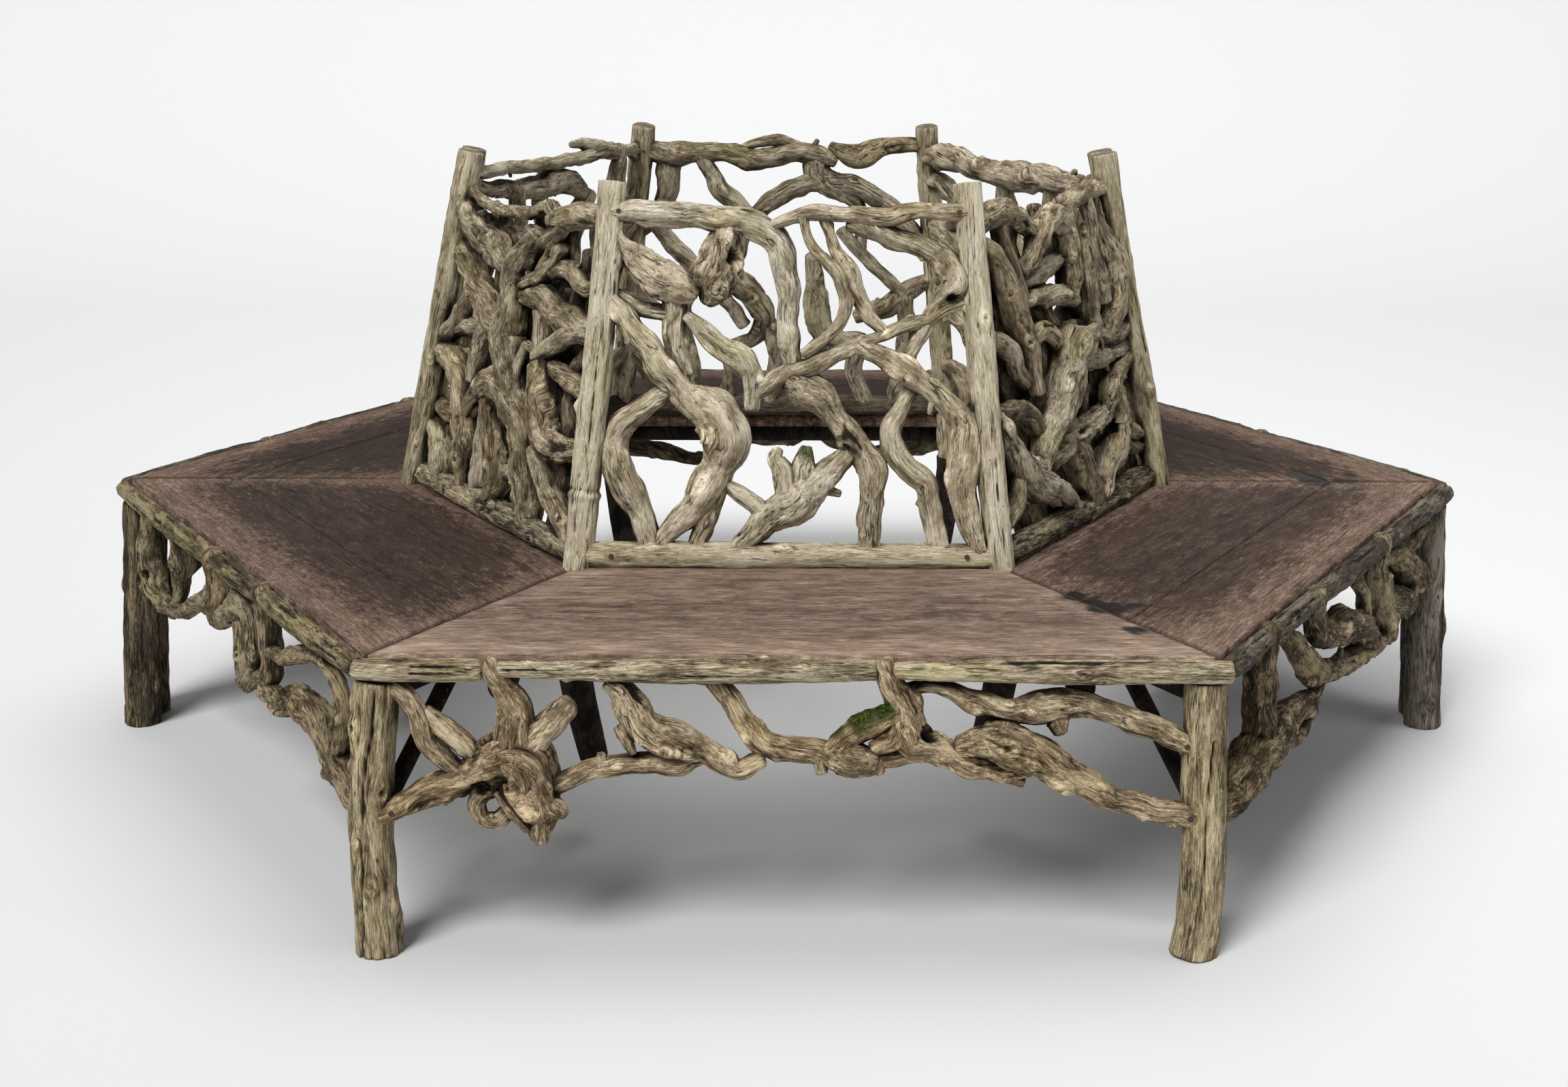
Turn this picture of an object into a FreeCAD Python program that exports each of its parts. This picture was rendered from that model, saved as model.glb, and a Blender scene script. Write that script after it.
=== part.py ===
import FreeCAD, Part
import Sketcher
import math
import os

# Hexagonal tree bench of driftwood branches and old boards, made in two halves.
# Frame: millimetres, +Z up, floor at Z 0, origin under the middle of the ring.
# The front section faces -Y. The halves meet on the plane Y 0.

os.makedirs("parts", exist_ok=True)

Vector = FreeCAD.Vector
Rotation = FreeCAD.Rotation
Placement = FreeCAD.Placement

document = FreeCAD.newDocument("tree_bench")
sheet = document.addObject("Spreadsheet::Sheet", "Sizes")

# Driving sizes in millimetres and degrees
DRIVING_SIZES = [
    ("seat_height", 450),
    ("board_thickness", 30),
    ("seat_inner_apothem", 601),
    ("inner_plank_depth", 245),
    ("outer_plank_depth", 165),
    ("plank_seam", 1),
    ("board_seam", 3),
    ("notch_clearance", 5),
    ("half_gap", 3),
    ("edge_pole_diameter", 36),
    ("edge_pole_drop", 1),
    ("corner_leg_circle", 1157),
    ("corner_leg_diameter", 66),
    ("seat_clearance", 0.3),
    ("post_foot_circle", 660),
    ("post_head_circle", 542),
    ("post_head_height", 1031),
    ("post_diameter", 45),
    ("post_tail", 95),
    ("inner_leg_diameter", 54),
    ("inner_leg_bottom", 125),
    ("inner_leg_bottom_circle", 622),
    ("bearer_diameter", 50),
    ("inner_rail_diameter", 44),
    ("inner_rail_apothem", 640),
    ("cross_bearer_diameter", 40),
    ("cross_bearer_offset", 400),
    ("brace_diameter", 26),
    ("brace_foot_height", 205),
    ("brace_head_circle", 955),
    ("back_rail_diameter", 41),
    ("back_rail_height", 17),
    ("back_rail_end_inset", 12),
    ("apron_offset", 12),
    ("screw_diameter", 8),
    ("screw_head_diameter", 13),
    ("screw_head_length", 8),
    ("screw_recess", 9),
    ("screw_grip", 30),
    ("hole_clearance", 0.8),
    ("leg_hole_low", 162),
    ("leg_hole_high", 323),
    ("post_hole_low", 150),
    ("post_hole_high", 400),
    ("nail_diameter", 4),
    ("nail_head_diameter", 8),
    ("nail_head_length", 1.5),
    ("nail_length", 30),
]

for row, (alias, value) in enumerate(DRIVING_SIZES, start=1):
    sheet.set(f"A{row}", alias)
    sheet.set(f"B{row}", str(value))
    sheet.setAlias(f"B{row}", alias)
document.recompute()


def size(alias):
    """Value of one driving size."""
    return float(sheet.get(alias))


# Sizes of the panels on which the branch routes were drawn
DRAWN_POST_FOOT = 665
DRAWN_POST_HEAD = 542
DRAWN_SLANT = 590.7
DRAWN_LEG_CIRCLE = 1157
DRAWN_SEAT_HEIGHT = 450

COS_30 = math.cos(math.radians(30))
TAN_30 = math.tan(math.radians(30))
SMALLEST_PIECE = 1500
CLIP_REACH = 1500

# Section name and the direction that it faces
SECTIONS = {
    "front": 270,
    "front_left": 210,
    "front_right": 330,
    "rear": 90,
    "rear_left": 150,
    "rear_right": 30,
}
FRONT_HALF = ("front", "front_left", "front_right")
REAR_HALF = ("rear", "rear_left", "rear_right")

# Corner name, its direction, and the side of the split on which its posts and legs stand
CORNERS = {
    "front_left": (240, 0),
    "front_right": (300, 0),
    "rear_left": (120, 0),
    "rear_right": (60, 0),
    "left_front_half": (180, -1),
    "right_front_half": (0, -1),
    "left_rear_half": (180, 1),
    "right_rear_half": (0, 1),
}
SECTION_CORNERS = {
    "front": ("front_left", "front_right"),
    "front_left": ("left_front_half", "front_left"),
    "front_right": ("front_right", "right_front_half"),
    "rear": ("rear_right", "rear_left"),
    "rear_left": ("rear_left", "left_rear_half"),
    "rear_right": ("right_rear_half", "rear_right"),
}

parts = {}


def outward(angle):
    """Unit vector that points away from the middle at an angle."""
    return Vector(math.cos(math.radians(angle)), math.sin(math.radians(angle)), 0)


def along(angle):
    """Unit vector that runs along the section that faces an angle."""
    return Vector(-math.sin(math.radians(angle)), math.cos(math.radians(angle)), 0)


def half_sign(section):
    """Side of the split on which a section lies."""
    return -1 if section in FRONT_HALF else 1


def split_shift(side, diameter):
    """Shift along Y that stands one of a doubled pair beside the split."""
    return Vector(0, side * (size("half_gap") / 2 + diameter / 2), 0)


def register(item, label):
    """Names a finished sub-part."""
    item.Label = label
    parts[label] = item
    return item


def compound(label, items):
    """One sub-part from several separate solids."""
    group = document.addObject("Part::Compound", label)
    group.Links = items
    return register(group, label)


def feature(label, solids):
    """One sub-part whose solids are worked out below."""
    item = document.addObject("Part::Feature", label)
    item.Shape = Part.makeCompound(solids)
    item.Placement = Placement()
    return register(item, label)


def log(name, rings, placement):
    """Slightly crooked round log: rings are radius, height, x and y along its own axis."""
    sections = []
    for number, (radius, height, shift_x, shift_y) in enumerate(rings):
        ring = document.addObject("Part::Circle", f"{name}_ring_{number}")
        ring.setExpression("Radius", radius)
        ring.setExpression("Placement.Base.z", height)
        ring.Placement.Base = Vector(shift_x, shift_y, 0)
        sections.append(ring)
    body = document.addObject("Part::Loft", f"{name}_log")
    body.Sections = sections
    body.Solid = True
    body.Ruled = False
    body.Placement = placement
    return body


# Seat planks


def origin_plane(body, role):
    return [item for item in body.Origin.OriginFeatures if item.Role == role][0]


def plank(name, inner, outer, angle):
    """Trapezoid board with mitred ends, from one apothem to another."""
    body = document.addObject("PartDesign::Body", name)
    outline = body.newObject("Sketcher::SketchObject", f"{name}_outline")
    outline.AttachmentSupport = [(origin_plane(body, "XY_Plane"), "")]
    outline.MapMode = "FlatFace"
    corners = [Vector(600, -300, 0), Vector(900, -450, 0), Vector(900, 450, 0), Vector(600, 300, 0)]
    for index, corner in enumerate(corners):
        outline.addGeometry(Part.LineSegment(corner, corners[(index + 1) % 4]), False)
    for index in range(4):
        outline.addConstraint(Sketcher.Constraint("Coincident", index, 2, (index + 1) % 4, 1))
    seam = "Sizes.board_seam / 2 / cos(30)"
    bounds = [
        ("DistanceX", 3, 1, 600, inner),
        ("DistanceX", 1, 1, 900, outer),
        ("DistanceY", 3, 1, 300, f"({inner}) * tan(30) - {seam}"),
        ("DistanceY", 1, 2, 450, f"({outer}) * tan(30) - {seam}"),
    ]
    for kind, line, end, start, expression in bounds:
        number = outline.addConstraint(Sketcher.Constraint(kind, -1, 1, line, end, start))
        outline.setExpression(f"Constraints[{number}]", expression)
    outline.addConstraint(Sketcher.Constraint("Symmetric", 0, 1, 3, 1, -1))
    outline.addConstraint(Sketcher.Constraint("Symmetric", 0, 2, 2, 1, -1))
    pad = body.newObject("PartDesign::Pad", f"{name}_pad")
    pad.Profile = outline
    pad.setExpression("Length", "Sizes.board_thickness")
    lift = size("seat_height") - size("board_thickness")
    body.Placement = Placement(Vector(0, 0, lift), Rotation(Vector(0, 0, 1), angle))
    return body


boards = {}
for section, angle in SECTIONS.items():
    inner_edge = "Sizes.seat_inner_apothem"
    middle_edge = f"{inner_edge} + Sizes.inner_plank_depth"
    outer_start = f"{middle_edge} + Sizes.plank_seam"
    outer_edge = f"{outer_start} + Sizes.outer_plank_depth"
    boards[section] = [
        plank(f"{section}_inner_plank", inner_edge, middle_edge, angle),
        plank(f"{section}_outer_plank", outer_start, outer_edge, angle),
    ]

# Heights and distances that several pieces share

seat_under = size("seat_height") - size("board_thickness")
seat_outer_apothem = (
    size("seat_inner_apothem") + size("inner_plank_depth") + size("plank_seam") + size("outer_plank_depth")
)
pole_radius = size("edge_pole_diameter") / 2
pole_apothem = seat_outer_apothem + pole_radius
pole_height = size("seat_height") - size("edge_pole_drop") - pole_radius
post_lean = math.atan2(
    size("post_foot_circle") - size("post_head_circle"), size("post_head_height") - size("seat_height")
)
post_bottom_height = size("seat_height") - size("post_tail") * math.cos(post_lean)
post_bottom_circle = size("post_foot_circle") + size("post_tail") * math.sin(post_lean)
bearer_height = seat_under - size("bearer_diameter") / 2

# Outer legs: crooked logs whose feet spread a little

LEG_TOP = "(Sizes.seat_height - Sizes.edge_pole_drop - Sizes.edge_pole_diameter - Sizes.seat_clearance)"
LEG_CROOKS = {
    "front_left": [(1.01, 2, -8), (1.0, 0, -11), (0.98, 2, -12), (1.0, 2, -4), (0.97, 0, 7)],
    "front_right": [(1.06, 2, -5), (1.0, 2, 3), (0.98, 2, 2), (0.97, 0, -3), (0.94, 0, -6)],
    "rear_left": [(1.05, 3, 6), (1.0, 0, -2), (0.98, -2, 0), (0.98, 0, 2), (0.95, 0, 3)],
    "rear_right": [(1.02, -3, -4), (0.99, 3, -2), (0.98, 2, 2), (1.0, 0, 3), (0.96, -2, 0)],
    "left_front_half": [(0.98, 12, 0), (1.0, 8, 0), (0.98, 2, 0), (0.96, -6, 0), (0.94, -12, 0)],
    "right_front_half": [(0.99, 10, 0), (0.97, 6, 0), (1.0, 0, 0), (0.98, -6, 0), (0.95, -11, 0)],
    "left_rear_half": [(1.0, 12, 0), (0.98, 10, 0), (0.97, 4, 0), (0.96, -4, 0), (0.94, -10, 0)],
    "right_rear_half": [(0.97, 18, 0), (1.0, 15, 0), (0.98, 8, 0), (0.96, -1, 0), (0.95, -8, 0)],
}
LEG_LEVELS = (0, 0.14, 0.45, 0.75, 1)

legs = {}
for corner, (angle, side) in CORNERS.items():
    rings = []
    for share, (swell, shift_x, shift_y) in zip(LEG_LEVELS, LEG_CROOKS[corner]):
        rings.append((f"Sizes.corner_leg_diameter / 2 * {swell}", f"{LEG_TOP} * {share}", shift_x, shift_y))
    foot = outward(angle) * size("corner_leg_circle") + split_shift(side, size("corner_leg_diameter"))
    legs[corner] = log(f"{corner}_leg", rings, Placement(foot, Rotation(Vector(0, 0, 1), angle)))

# Back posts: they lean in towards the trunk

POST_CROOKS = {
    "front_left": [(1.0, 0, 0), (1.04, 0, 2), (0.98, 0, 3), (0.96, 0, 0)],
    "front_right": [(0.95, 0, 0), (1.0, 0, -3), (1.02, 0, -2), (0.94, 0, 0)],
    "rear_left": [(1.0, 0, 0), (1.02, 0, -3), (1.0, 0, 2), (1.0, 0, 0)],
    "rear_right": [(1.0, 0, 0), (0.98, 0, 2), (0.96, 0, 3), (0.95, 0, 0)],
    "left_front_half": [(0.98, 0, 0), (1.0, 2, 0), (0.97, 3, 0), (0.95, 0, 0)],
    "right_front_half": [(1.0, 0, 0), (0.97, 3, 0), (1.0, -2, 0), (0.98, 0, 0)],
    "left_rear_half": [(0.97, 0, 0), (1.0, -3, 0), (1.0, 2, 0), (0.96, 0, 0)],
    "right_rear_half": [(1.0, 0, 0), (1.0, 2, 0), (0.98, 3, 0), (0.97, 0, 0)],
}
POST_LEVELS = (0, 0.35, 0.7, 1)
POST_LENGTH = (
    "(Sizes.post_tail + sqrt((Sizes.post_foot_circle - Sizes.post_head_circle)^2"
    " + (Sizes.post_head_height - Sizes.seat_height)^2))"
)

posts = {}
for corner, (angle, side) in CORNERS.items():
    rings = []
    for share, (swell, shift_x, shift_y) in zip(POST_LEVELS, POST_CROOKS[corner]):
        rings.append((f"Sizes.post_diameter / 2 * {swell}", f"{POST_LENGTH} * {share}", shift_x, shift_y))
    foot = outward(angle) * post_bottom_circle + split_shift(side, size("post_diameter"))
    foot += Vector(0, 0, post_bottom_height)
    turn = Rotation(Vector(0, 0, 1), angle) * Rotation(Vector(0, 1, 0), -math.degrees(post_lean))
    posts[corner] = log(f"{corner}_post", rings, Placement(foot, turn))

# Notches in the inner boards, around the doubled posts


def notched(board, corner):
    """Board with room for a post that stands beside its end."""
    notch = document.addObject("Part::Cylinder", f"{corner}_notch")
    notch.setExpression("Radius", "Sizes.post_diameter / 2 + Sizes.notch_clearance")
    notch.setExpression("Height", "Sizes.post_tail + Sizes.post_diameter")
    notch.Placement = posts[corner].Placement
    cut_board = document.addObject("Part::Cut", f"{corner}_board")
    cut_board.Base = board
    cut_board.Tool = notch
    return cut_board


for section, (inner_board, outer_board) in boards.items():
    for corner in SECTION_CORNERS[section]:
        if CORNERS[corner][1]:
            inner_board = notched(inner_board, corner)
    compound(f"{section}_seat_planks", [inner_board, outer_board])

# Screws that hold the two halves together, through doubled legs and doubled posts


def cylinder(name, diameter, length, base, direction):
    item = document.addObject("Part::Cylinder", name)
    item.setExpression("Radius", f"({diameter}) / 2")
    item.setExpression("Height", length)
    item.Placement = Placement(base, Rotation(Vector(0, 0, 1), direction))
    return item


def fused(name, items):
    item = document.addObject("Part::MultiFuse", name)
    item.Shapes = items
    return item


def drilled(label, body, tools):
    """A log with its screw holes cut."""
    item = document.addObject("Part::Cut", label)
    item.Base = body
    item.Tool = tools
    register(item, label)


BACKWARD = Vector(0, 1, 0)
RECESS = "Sizes.screw_recess + Sizes.screw_head_length"
HOLE = "Sizes.screw_diameter + Sizes.hole_clearance"
HEAD_HOLE = "Sizes.screw_head_diameter + Sizes.hole_clearance"


def joint_axes(corner):
    """Front points of the screw holes on a doubled leg or post, on the front surface."""
    angle = CORNERS[corner][0]
    out = outward(angle)
    spots = []
    leg_front = -size("half_gap") / 2 - size("corner_leg_diameter")
    for number, (level, lean) in enumerate((("leg_hole_low", 5), ("leg_hole_high", -5))):
        spot = out * (size("corner_leg_circle") + lean)
        spots.append((f"leg_{number}", spot + Vector(0, leg_front, size(level)), "corner_leg_diameter"))
    post_front = -size("half_gap") / 2 - size("post_diameter")
    for number, level in enumerate(("post_hole_low", "post_hole_high")):
        rise = size(level) * math.cos(post_lean)
        circle = size("post_foot_circle") - size(level) * math.sin(post_lean)
        spot = out * circle + Vector(0, post_front, size("seat_height") + rise)
        spots.append((f"post_{number}", spot, "post_diameter"))
    return spots


screws = []
hole_tools = {}
for side_name, corner in (("left", "left_front_half"), ("right", "right_front_half")):
    for name, spot, through in joint_axes(corner):
        full = f"Sizes.{through} + Sizes.half_gap + Sizes.screw_grip"
        tag = f"{side_name}_{name}"
        entry = cylinder(f"{tag}_head_hole", HEAD_HOLE, f"{RECESS} + 20", spot - BACKWARD * 20, BACKWARD)
        bore = cylinder(f"{tag}_bore", HOLE, f"{full} + 2", spot, BACKWARD)
        hole_tools.setdefault(f"{side_name}_{name[:-2]}", []).append(fused(f"{tag}_hole", [entry, bore]))
        head_base = spot + BACKWARD * size("screw_recess")
        head = cylinder(
            f"{tag}_head", "Sizes.screw_head_diameter", "Sizes.screw_head_length", head_base, BACKWARD
        )
        shank = cylinder(
            f"{tag}_shank", "Sizes.screw_diameter", f"{full} - Sizes.screw_recess", head_base, BACKWARD
        )
        screws.append(fused(f"{tag}_screw", [head, shank]))
compound("coupling_screws", screws)

for corner in CORNERS:
    for kind, bodies in (("leg", legs), ("post", posts)):
        label = f"{corner}_{kind}"
        if CORNERS[corner][1] == 0:
            register(bodies[corner], label)
            continue
        side_name = corner.split("_")[0]
        tools = document.addObject("Part::Compound", f"{label}_holes")
        tools.Links = hole_tools[f"{side_name}_{kind}"]
        drilled(label, bodies[corner], tools)

document.recompute()

# Branches: round wood that follows a hand-drawn route, fitted against what stands before it


def limb(points, radii, steady):
    """Solid of round sections through points, ruled between neighbouring sections."""
    wires = []
    last = len(points) - 1
    for index, point in enumerate(points):
        before = points[max(index - 1, 0)]
        after = points[min(index + 1, last)]
        heading = after - before
        if 0 < index < last:
            heading = (point - before).normalize() + (after - point).normalize()
        heading.normalize()
        across = steady - heading * steady.dot(heading)
        across.normalize()
        upward = heading.cross(across)
        frame = FreeCAD.Matrix(
            across.x, upward.x, heading.x, point.x,
            across.y, upward.y, heading.y, point.y,
            across.z, upward.z, heading.z, point.z,
            0, 0, 0, 1,
        )
        ring = Part.makeCircle(radii[index])
        ring.Placement = Placement(frame)
        wires.append(Part.Wire([ring]))
    return Part.makeLoft(wires, True, True)


def fitted(solid, neighbours):
    """Pieces of a solid that are left where its neighbours don't stand."""
    near = [other for other in neighbours if other.BoundBox.intersect(solid.BoundBox)]
    if not near:
        return [solid]
    return [piece for piece in solid.cut(near).Solids if piece.Volume > SMALLEST_PIECE]


def largest(pieces):
    return max(pieces, key=lambda piece: piece.Volume)


def beyond_split(section, margin):
    """Block that fills the space past the middle of a section's half."""
    sign = half_sign(section)
    block = Part.makeBox(2 * CLIP_REACH, CLIP_REACH, 2 * CLIP_REACH)
    low_edge = -margin if sign < 0 else margin - CLIP_REACH
    block.translate(Vector(-CLIP_REACH, low_edge, -CLIP_REACH / 2))
    return block


def back_point(section, across, rise, out):
    """Point of a back panel: across from its middle, up its slant and out of its plane."""
    angle = SECTIONS[section]
    drawn_half = (DRAWN_POST_FOOT - (DRAWN_POST_FOOT - DRAWN_POST_HEAD) * rise / DRAWN_SLANT) / 2
    share = rise / DRAWN_SLANT
    circle = size("post_foot_circle") * (1 - share) + size("post_head_circle") * share
    base = outward(angle) * circle * COS_30
    base += Vector(0, 0, size("seat_height") + share * (size("post_head_height") - size("seat_height")))
    run = (size("post_foot_circle") - size("post_head_circle")) * COS_30
    tilt = math.atan2(run, size("post_head_height") - size("seat_height"))
    normal = outward(angle) * math.cos(tilt) + Vector(0, 0, math.sin(tilt))
    return base + along(angle) * (across * circle / 2 / drawn_half) + normal * out


def apron_point(section, across, height, out):
    """Point of an apron: across from its middle, above the floor and out of the legs' plane."""
    angle = SECTIONS[section]
    plane = size("corner_leg_circle") * COS_30 + size("apron_offset")
    place = outward(angle) * (plane + out)
    place += along(angle) * (across * size("corner_leg_circle") / DRAWN_LEG_CIRCLE)
    return place + Vector(0, 0, height * size("seat_height") / DRAWN_SEAT_HEIGHT)


def turned_to(shape, section, sign):
    """Copy of a shape turned about the vertical from the front section to another, or back."""
    copy = shape.copy()
    copy.rotate(Vector(0, 0, 0), Vector(0, 0, 1), sign * (SECTIONS[section] - SECTIONS["front"]))
    return copy


def carved(section, routes, locate, turned, held):
    """Limbs of a section, each cut to lie against the wood held before it and the limbs before it."""
    held = [turned_to(shape, section, -1) for shape in held]
    laid = []
    pieces = []
    for route in routes:
        points = [locate("front", across * turned, height, out) for across, height, out, radius in route]
        radii = [radius for across, height, out, radius in route]
        solid = limb(points, radii, outward(SECTIONS["front"]))
        axis = Part.makePolygon(points)
        widest = max(radii)
        near = [other for other, line, reach in laid if axis.distToShape(line)[0] < reach + widest]
        near += [other for other in held if other.BoundBox.intersect(solid.BoundBox)]
        cut = solid.cut(near) if near else solid
        laid.append((solid, axis, widest))
        pieces.append([turned_to(piece, section, 1) for piece in cut.Solids if piece.Volume > SMALLEST_PIECE])
    return pieces


def straight(start, end, diameter):
    """Plain round bar from one point to another."""
    run = end - start
    return Part.makeCylinder(diameter / 2, run.Length, start, run)


# Bearers under the radial seams, cross bearers, inner rails, inner legs and braces


def corner_shift(corner, diameter):
    return split_shift(CORNERS[corner][1], diameter)


def bearer(corner):
    out = outward(CORNERS[corner][0])
    level = Vector(0, 0, bearer_height) + corner_shift(corner, size("bearer_diameter"))
    start = size("corner_leg_circle") - size("corner_leg_diameter") / 4
    bar = straight(out * start + level, out * post_bottom_circle + level, size("bearer_diameter"))
    return largest(fitted(bar, [legs[corner].Shape, posts[corner].Shape]))


def inner_leg(corner):
    """Leg under a back post: its head lies flat under the foot of the leaning post."""
    out = outward(CORNERS[corner][0])
    shift = corner_shift(corner, size("inner_leg_diameter"))
    post_axis = Vector(0, 0, math.cos(post_lean)) - out * math.sin(post_lean)
    head = out * post_bottom_circle + Vector(0, 0, post_bottom_height) + shift
    head -= post_axis * size("seat_clearance")
    neck = head - post_axis * size("inner_leg_diameter") / 2
    foot = out * size("inner_leg_bottom_circle") + Vector(0, 0, size("inner_leg_bottom")) + shift
    middle = (neck + foot) * 0.5 + out * 4
    radius = size("inner_leg_diameter") / 2
    radii = [radius * 0.85, radius * 0.95, radius, radius * 0.95]
    return limb([foot, middle, neck, head], radii, along(CORNERS[corner][0]))


def brace(corner, held):
    out = outward(CORNERS[corner][0])
    shift = corner_shift(corner, size("brace_diameter"))
    foot = out * size("corner_leg_circle") + Vector(0, 0, size("brace_foot_height")) + shift
    head = out * size("brace_head_circle") + Vector(0, 0, bearer_height) + shift
    return largest(fitted(straight(foot, head, size("brace_diameter")), held))


def inner_rail(section, held):
    angle = SECTIONS[section]
    height = seat_under - size("inner_rail_diameter") / 2
    middle = outward(angle) * size("inner_rail_apothem") + Vector(0, 0, height)
    reach = along(angle) * size("inner_rail_apothem") * TAN_30
    return largest(fitted(straight(middle - reach, middle + reach, size("inner_rail_diameter")), held))


def cross_bearer(section, across, held):
    angle = SECTIONS[section]
    height = seat_under - size("cross_bearer_diameter") / 2
    side = along(angle) * across + Vector(0, 0, height)
    outer_end = outward(angle) * (seat_outer_apothem - 5) + side
    inner_end = outward(angle) * size("inner_rail_apothem") + side
    return largest(fitted(straight(outer_end, inner_end, size("cross_bearer_diameter")), held))


frames = {}
for half, sections in (("front_half", FRONT_HALF), ("rear_half", REAR_HALF)):
    corners = []
    for section in sections:
        corners += [corner for corner in SECTION_CORNERS[section] if corner not in corners]
    bearers = [bearer(corner) for corner in corners]
    corner_posts = [posts[corner].Shape for corner in corners]
    corner_legs = [legs[corner].Shape for corner in corners]
    inner_legs = [inner_leg(corner) for corner in corners]
    braces = [brace(corner, corner_legs + bearers) for corner in corners]
    held = bearers + corner_posts
    rails = [inner_rail(section, held) for section in sections]
    cross_bearers = []
    for section in sections:
        for turned in (-1, 1):
            across = turned * size("cross_bearer_offset")
            cross_bearers.append(cross_bearer(section, across, bearers + rails + braces))
    feature(f"{half}_bearers", bearers + cross_bearers)
    feature(f"{half}_inner_rails", rails)
    feature(f"{half}_inner_legs", inner_legs)
    feature(f"{half}_braces", braces)
    frames[half] = bearers + cross_bearers + rails + braces

# Bottom rails of the back, from post to post

BACK_RAIL_CROOKS = {
    "front": (1.0, 1.04, 0.98, 0.95),
    "front_left": (1.1, 1.15, 1.1, 1.0),
    "front_right": (1.0, 1.1, 1.15, 1.05),
    "rear": (0.95, 1.0, 1.05, 1.0),
    "rear_left": (1.05, 1.0, 0.95, 1.0),
    "rear_right": (1.0, 0.95, 1.0, 1.05),
}


DOUBLED_ENDS = {"front_left": -1, "front_right": 1, "rear_left": 1, "rear_right": -1}


def back_rail(section, held):
    """Rail between two posts, shorter at the end where the posts are doubled."""
    rise = size("back_rail_height")
    reach = DRAWN_POST_FOOT / 2 - size("back_rail_end_inset")
    radius = size("back_rail_diameter") / 2
    crooks = BACK_RAIL_CROOKS[section]
    beside = (size("post_diameter") + size("half_gap")) / 2 * COS_30
    low, high = (reach - beside * (DOUBLED_ENDS.get(section) == end) for end in (-1, 1))
    points = [back_point(section, across, rise, 0) for across in (-low, -0.35 * low, 0.35 * high, high)]
    bar = limb(points, [radius * crook for crook in crooks], Vector(0, 0, 1))
    return largest(fitted(bar, held))


back_rails = {}
for half, sections in (("front_half", FRONT_HALF), ("rear_half", REAR_HALF)):
    for section in sections:
        held = [posts[corner].Shape for corner in SECTION_CORNERS[section]]
        back_rails[section] = back_rail(section, held)
    feature(f"{half}_back_rails", [back_rails[section] for section in sections])

# Edge poles: ends across the section, with the radius at the start, the middle and the end

EDGE_POLES = {
    "front": [((-598, -438), (15, 17, 17)), ((-396, 104), (12, 18, 16)), ((144, 600), (13, 18, 17))],
    "front_left": [((-581, -74), (15, 18, 17)), ((-16, 168), (16, 17, 16)), ((210, 574), (16, 18, 16))],
    "front_right": [
        ((-574, -420), (16, 17, 15)),
        ((-378, -206), (15, 17, 16)),
        ((-164, 154), (16, 18, 17)),
        ((196, 581), (16, 18, 17)),
    ],
    "rear": [((-598, -352), (16, 18, 16)), ((-308, 38), (15, 18, 16)), ((82, 598), (16, 18, 15))],
    "rear_left": [((-574, -242), (15, 17, 16)), ((-198, 188), (15, 18, 17)), ((232, 581), (16, 18, 16))],
    "rear_right": [((-581, -122), (16, 18, 16)), ((-78, 238), (15, 17, 15)), ((282, 574), (16, 18, 15))],
}


def edge_pole(section, ends, radii):
    """Pole nailed along the outer edge of the boards, with its own ends and swell."""
    scale = size("edge_pole_diameter") / 36
    angle = SECTIONS[section]
    points = []
    start, middle, end = radii
    for share, radius in zip((0, 0.12, 0.5, 0.88, 1), (start, start + 1.5, middle, end + 0.5, end)):
        across = ends[0] + (ends[1] - ends[0]) * share
        across *= pole_apothem / (DRAWN_LEG_CIRCLE * COS_30 + 28)
        place = outward(angle) * (seat_outer_apothem + radius * scale) + along(angle) * across
        points.append((place + Vector(0, 0, pole_height), min(radius, 18) * scale))
    return limb([point for point, radius in points], [radius for point, radius in points], Vector(0, 0, 1))


poles = {}
leg_tops = [legs[corner].Shape for corner in CORNERS]
laid = []
for section in SECTIONS:
    poles[section] = []
    split = beyond_split(section, size("half_gap") / 2)
    for ends, radii in EDGE_POLES[section]:
        pole = largest(fitted(edge_pole(section, ends, radii), laid + leg_tops + [split]))
        poles[section].append(pole)
        laid.append(pole)
    feature(f"{section}_edge_poles", poles[section])

# Routes of the back branches: across, up the slant, out of the plane and radius.
# The rear panels are drawn as seen from inside the ring.

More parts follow.
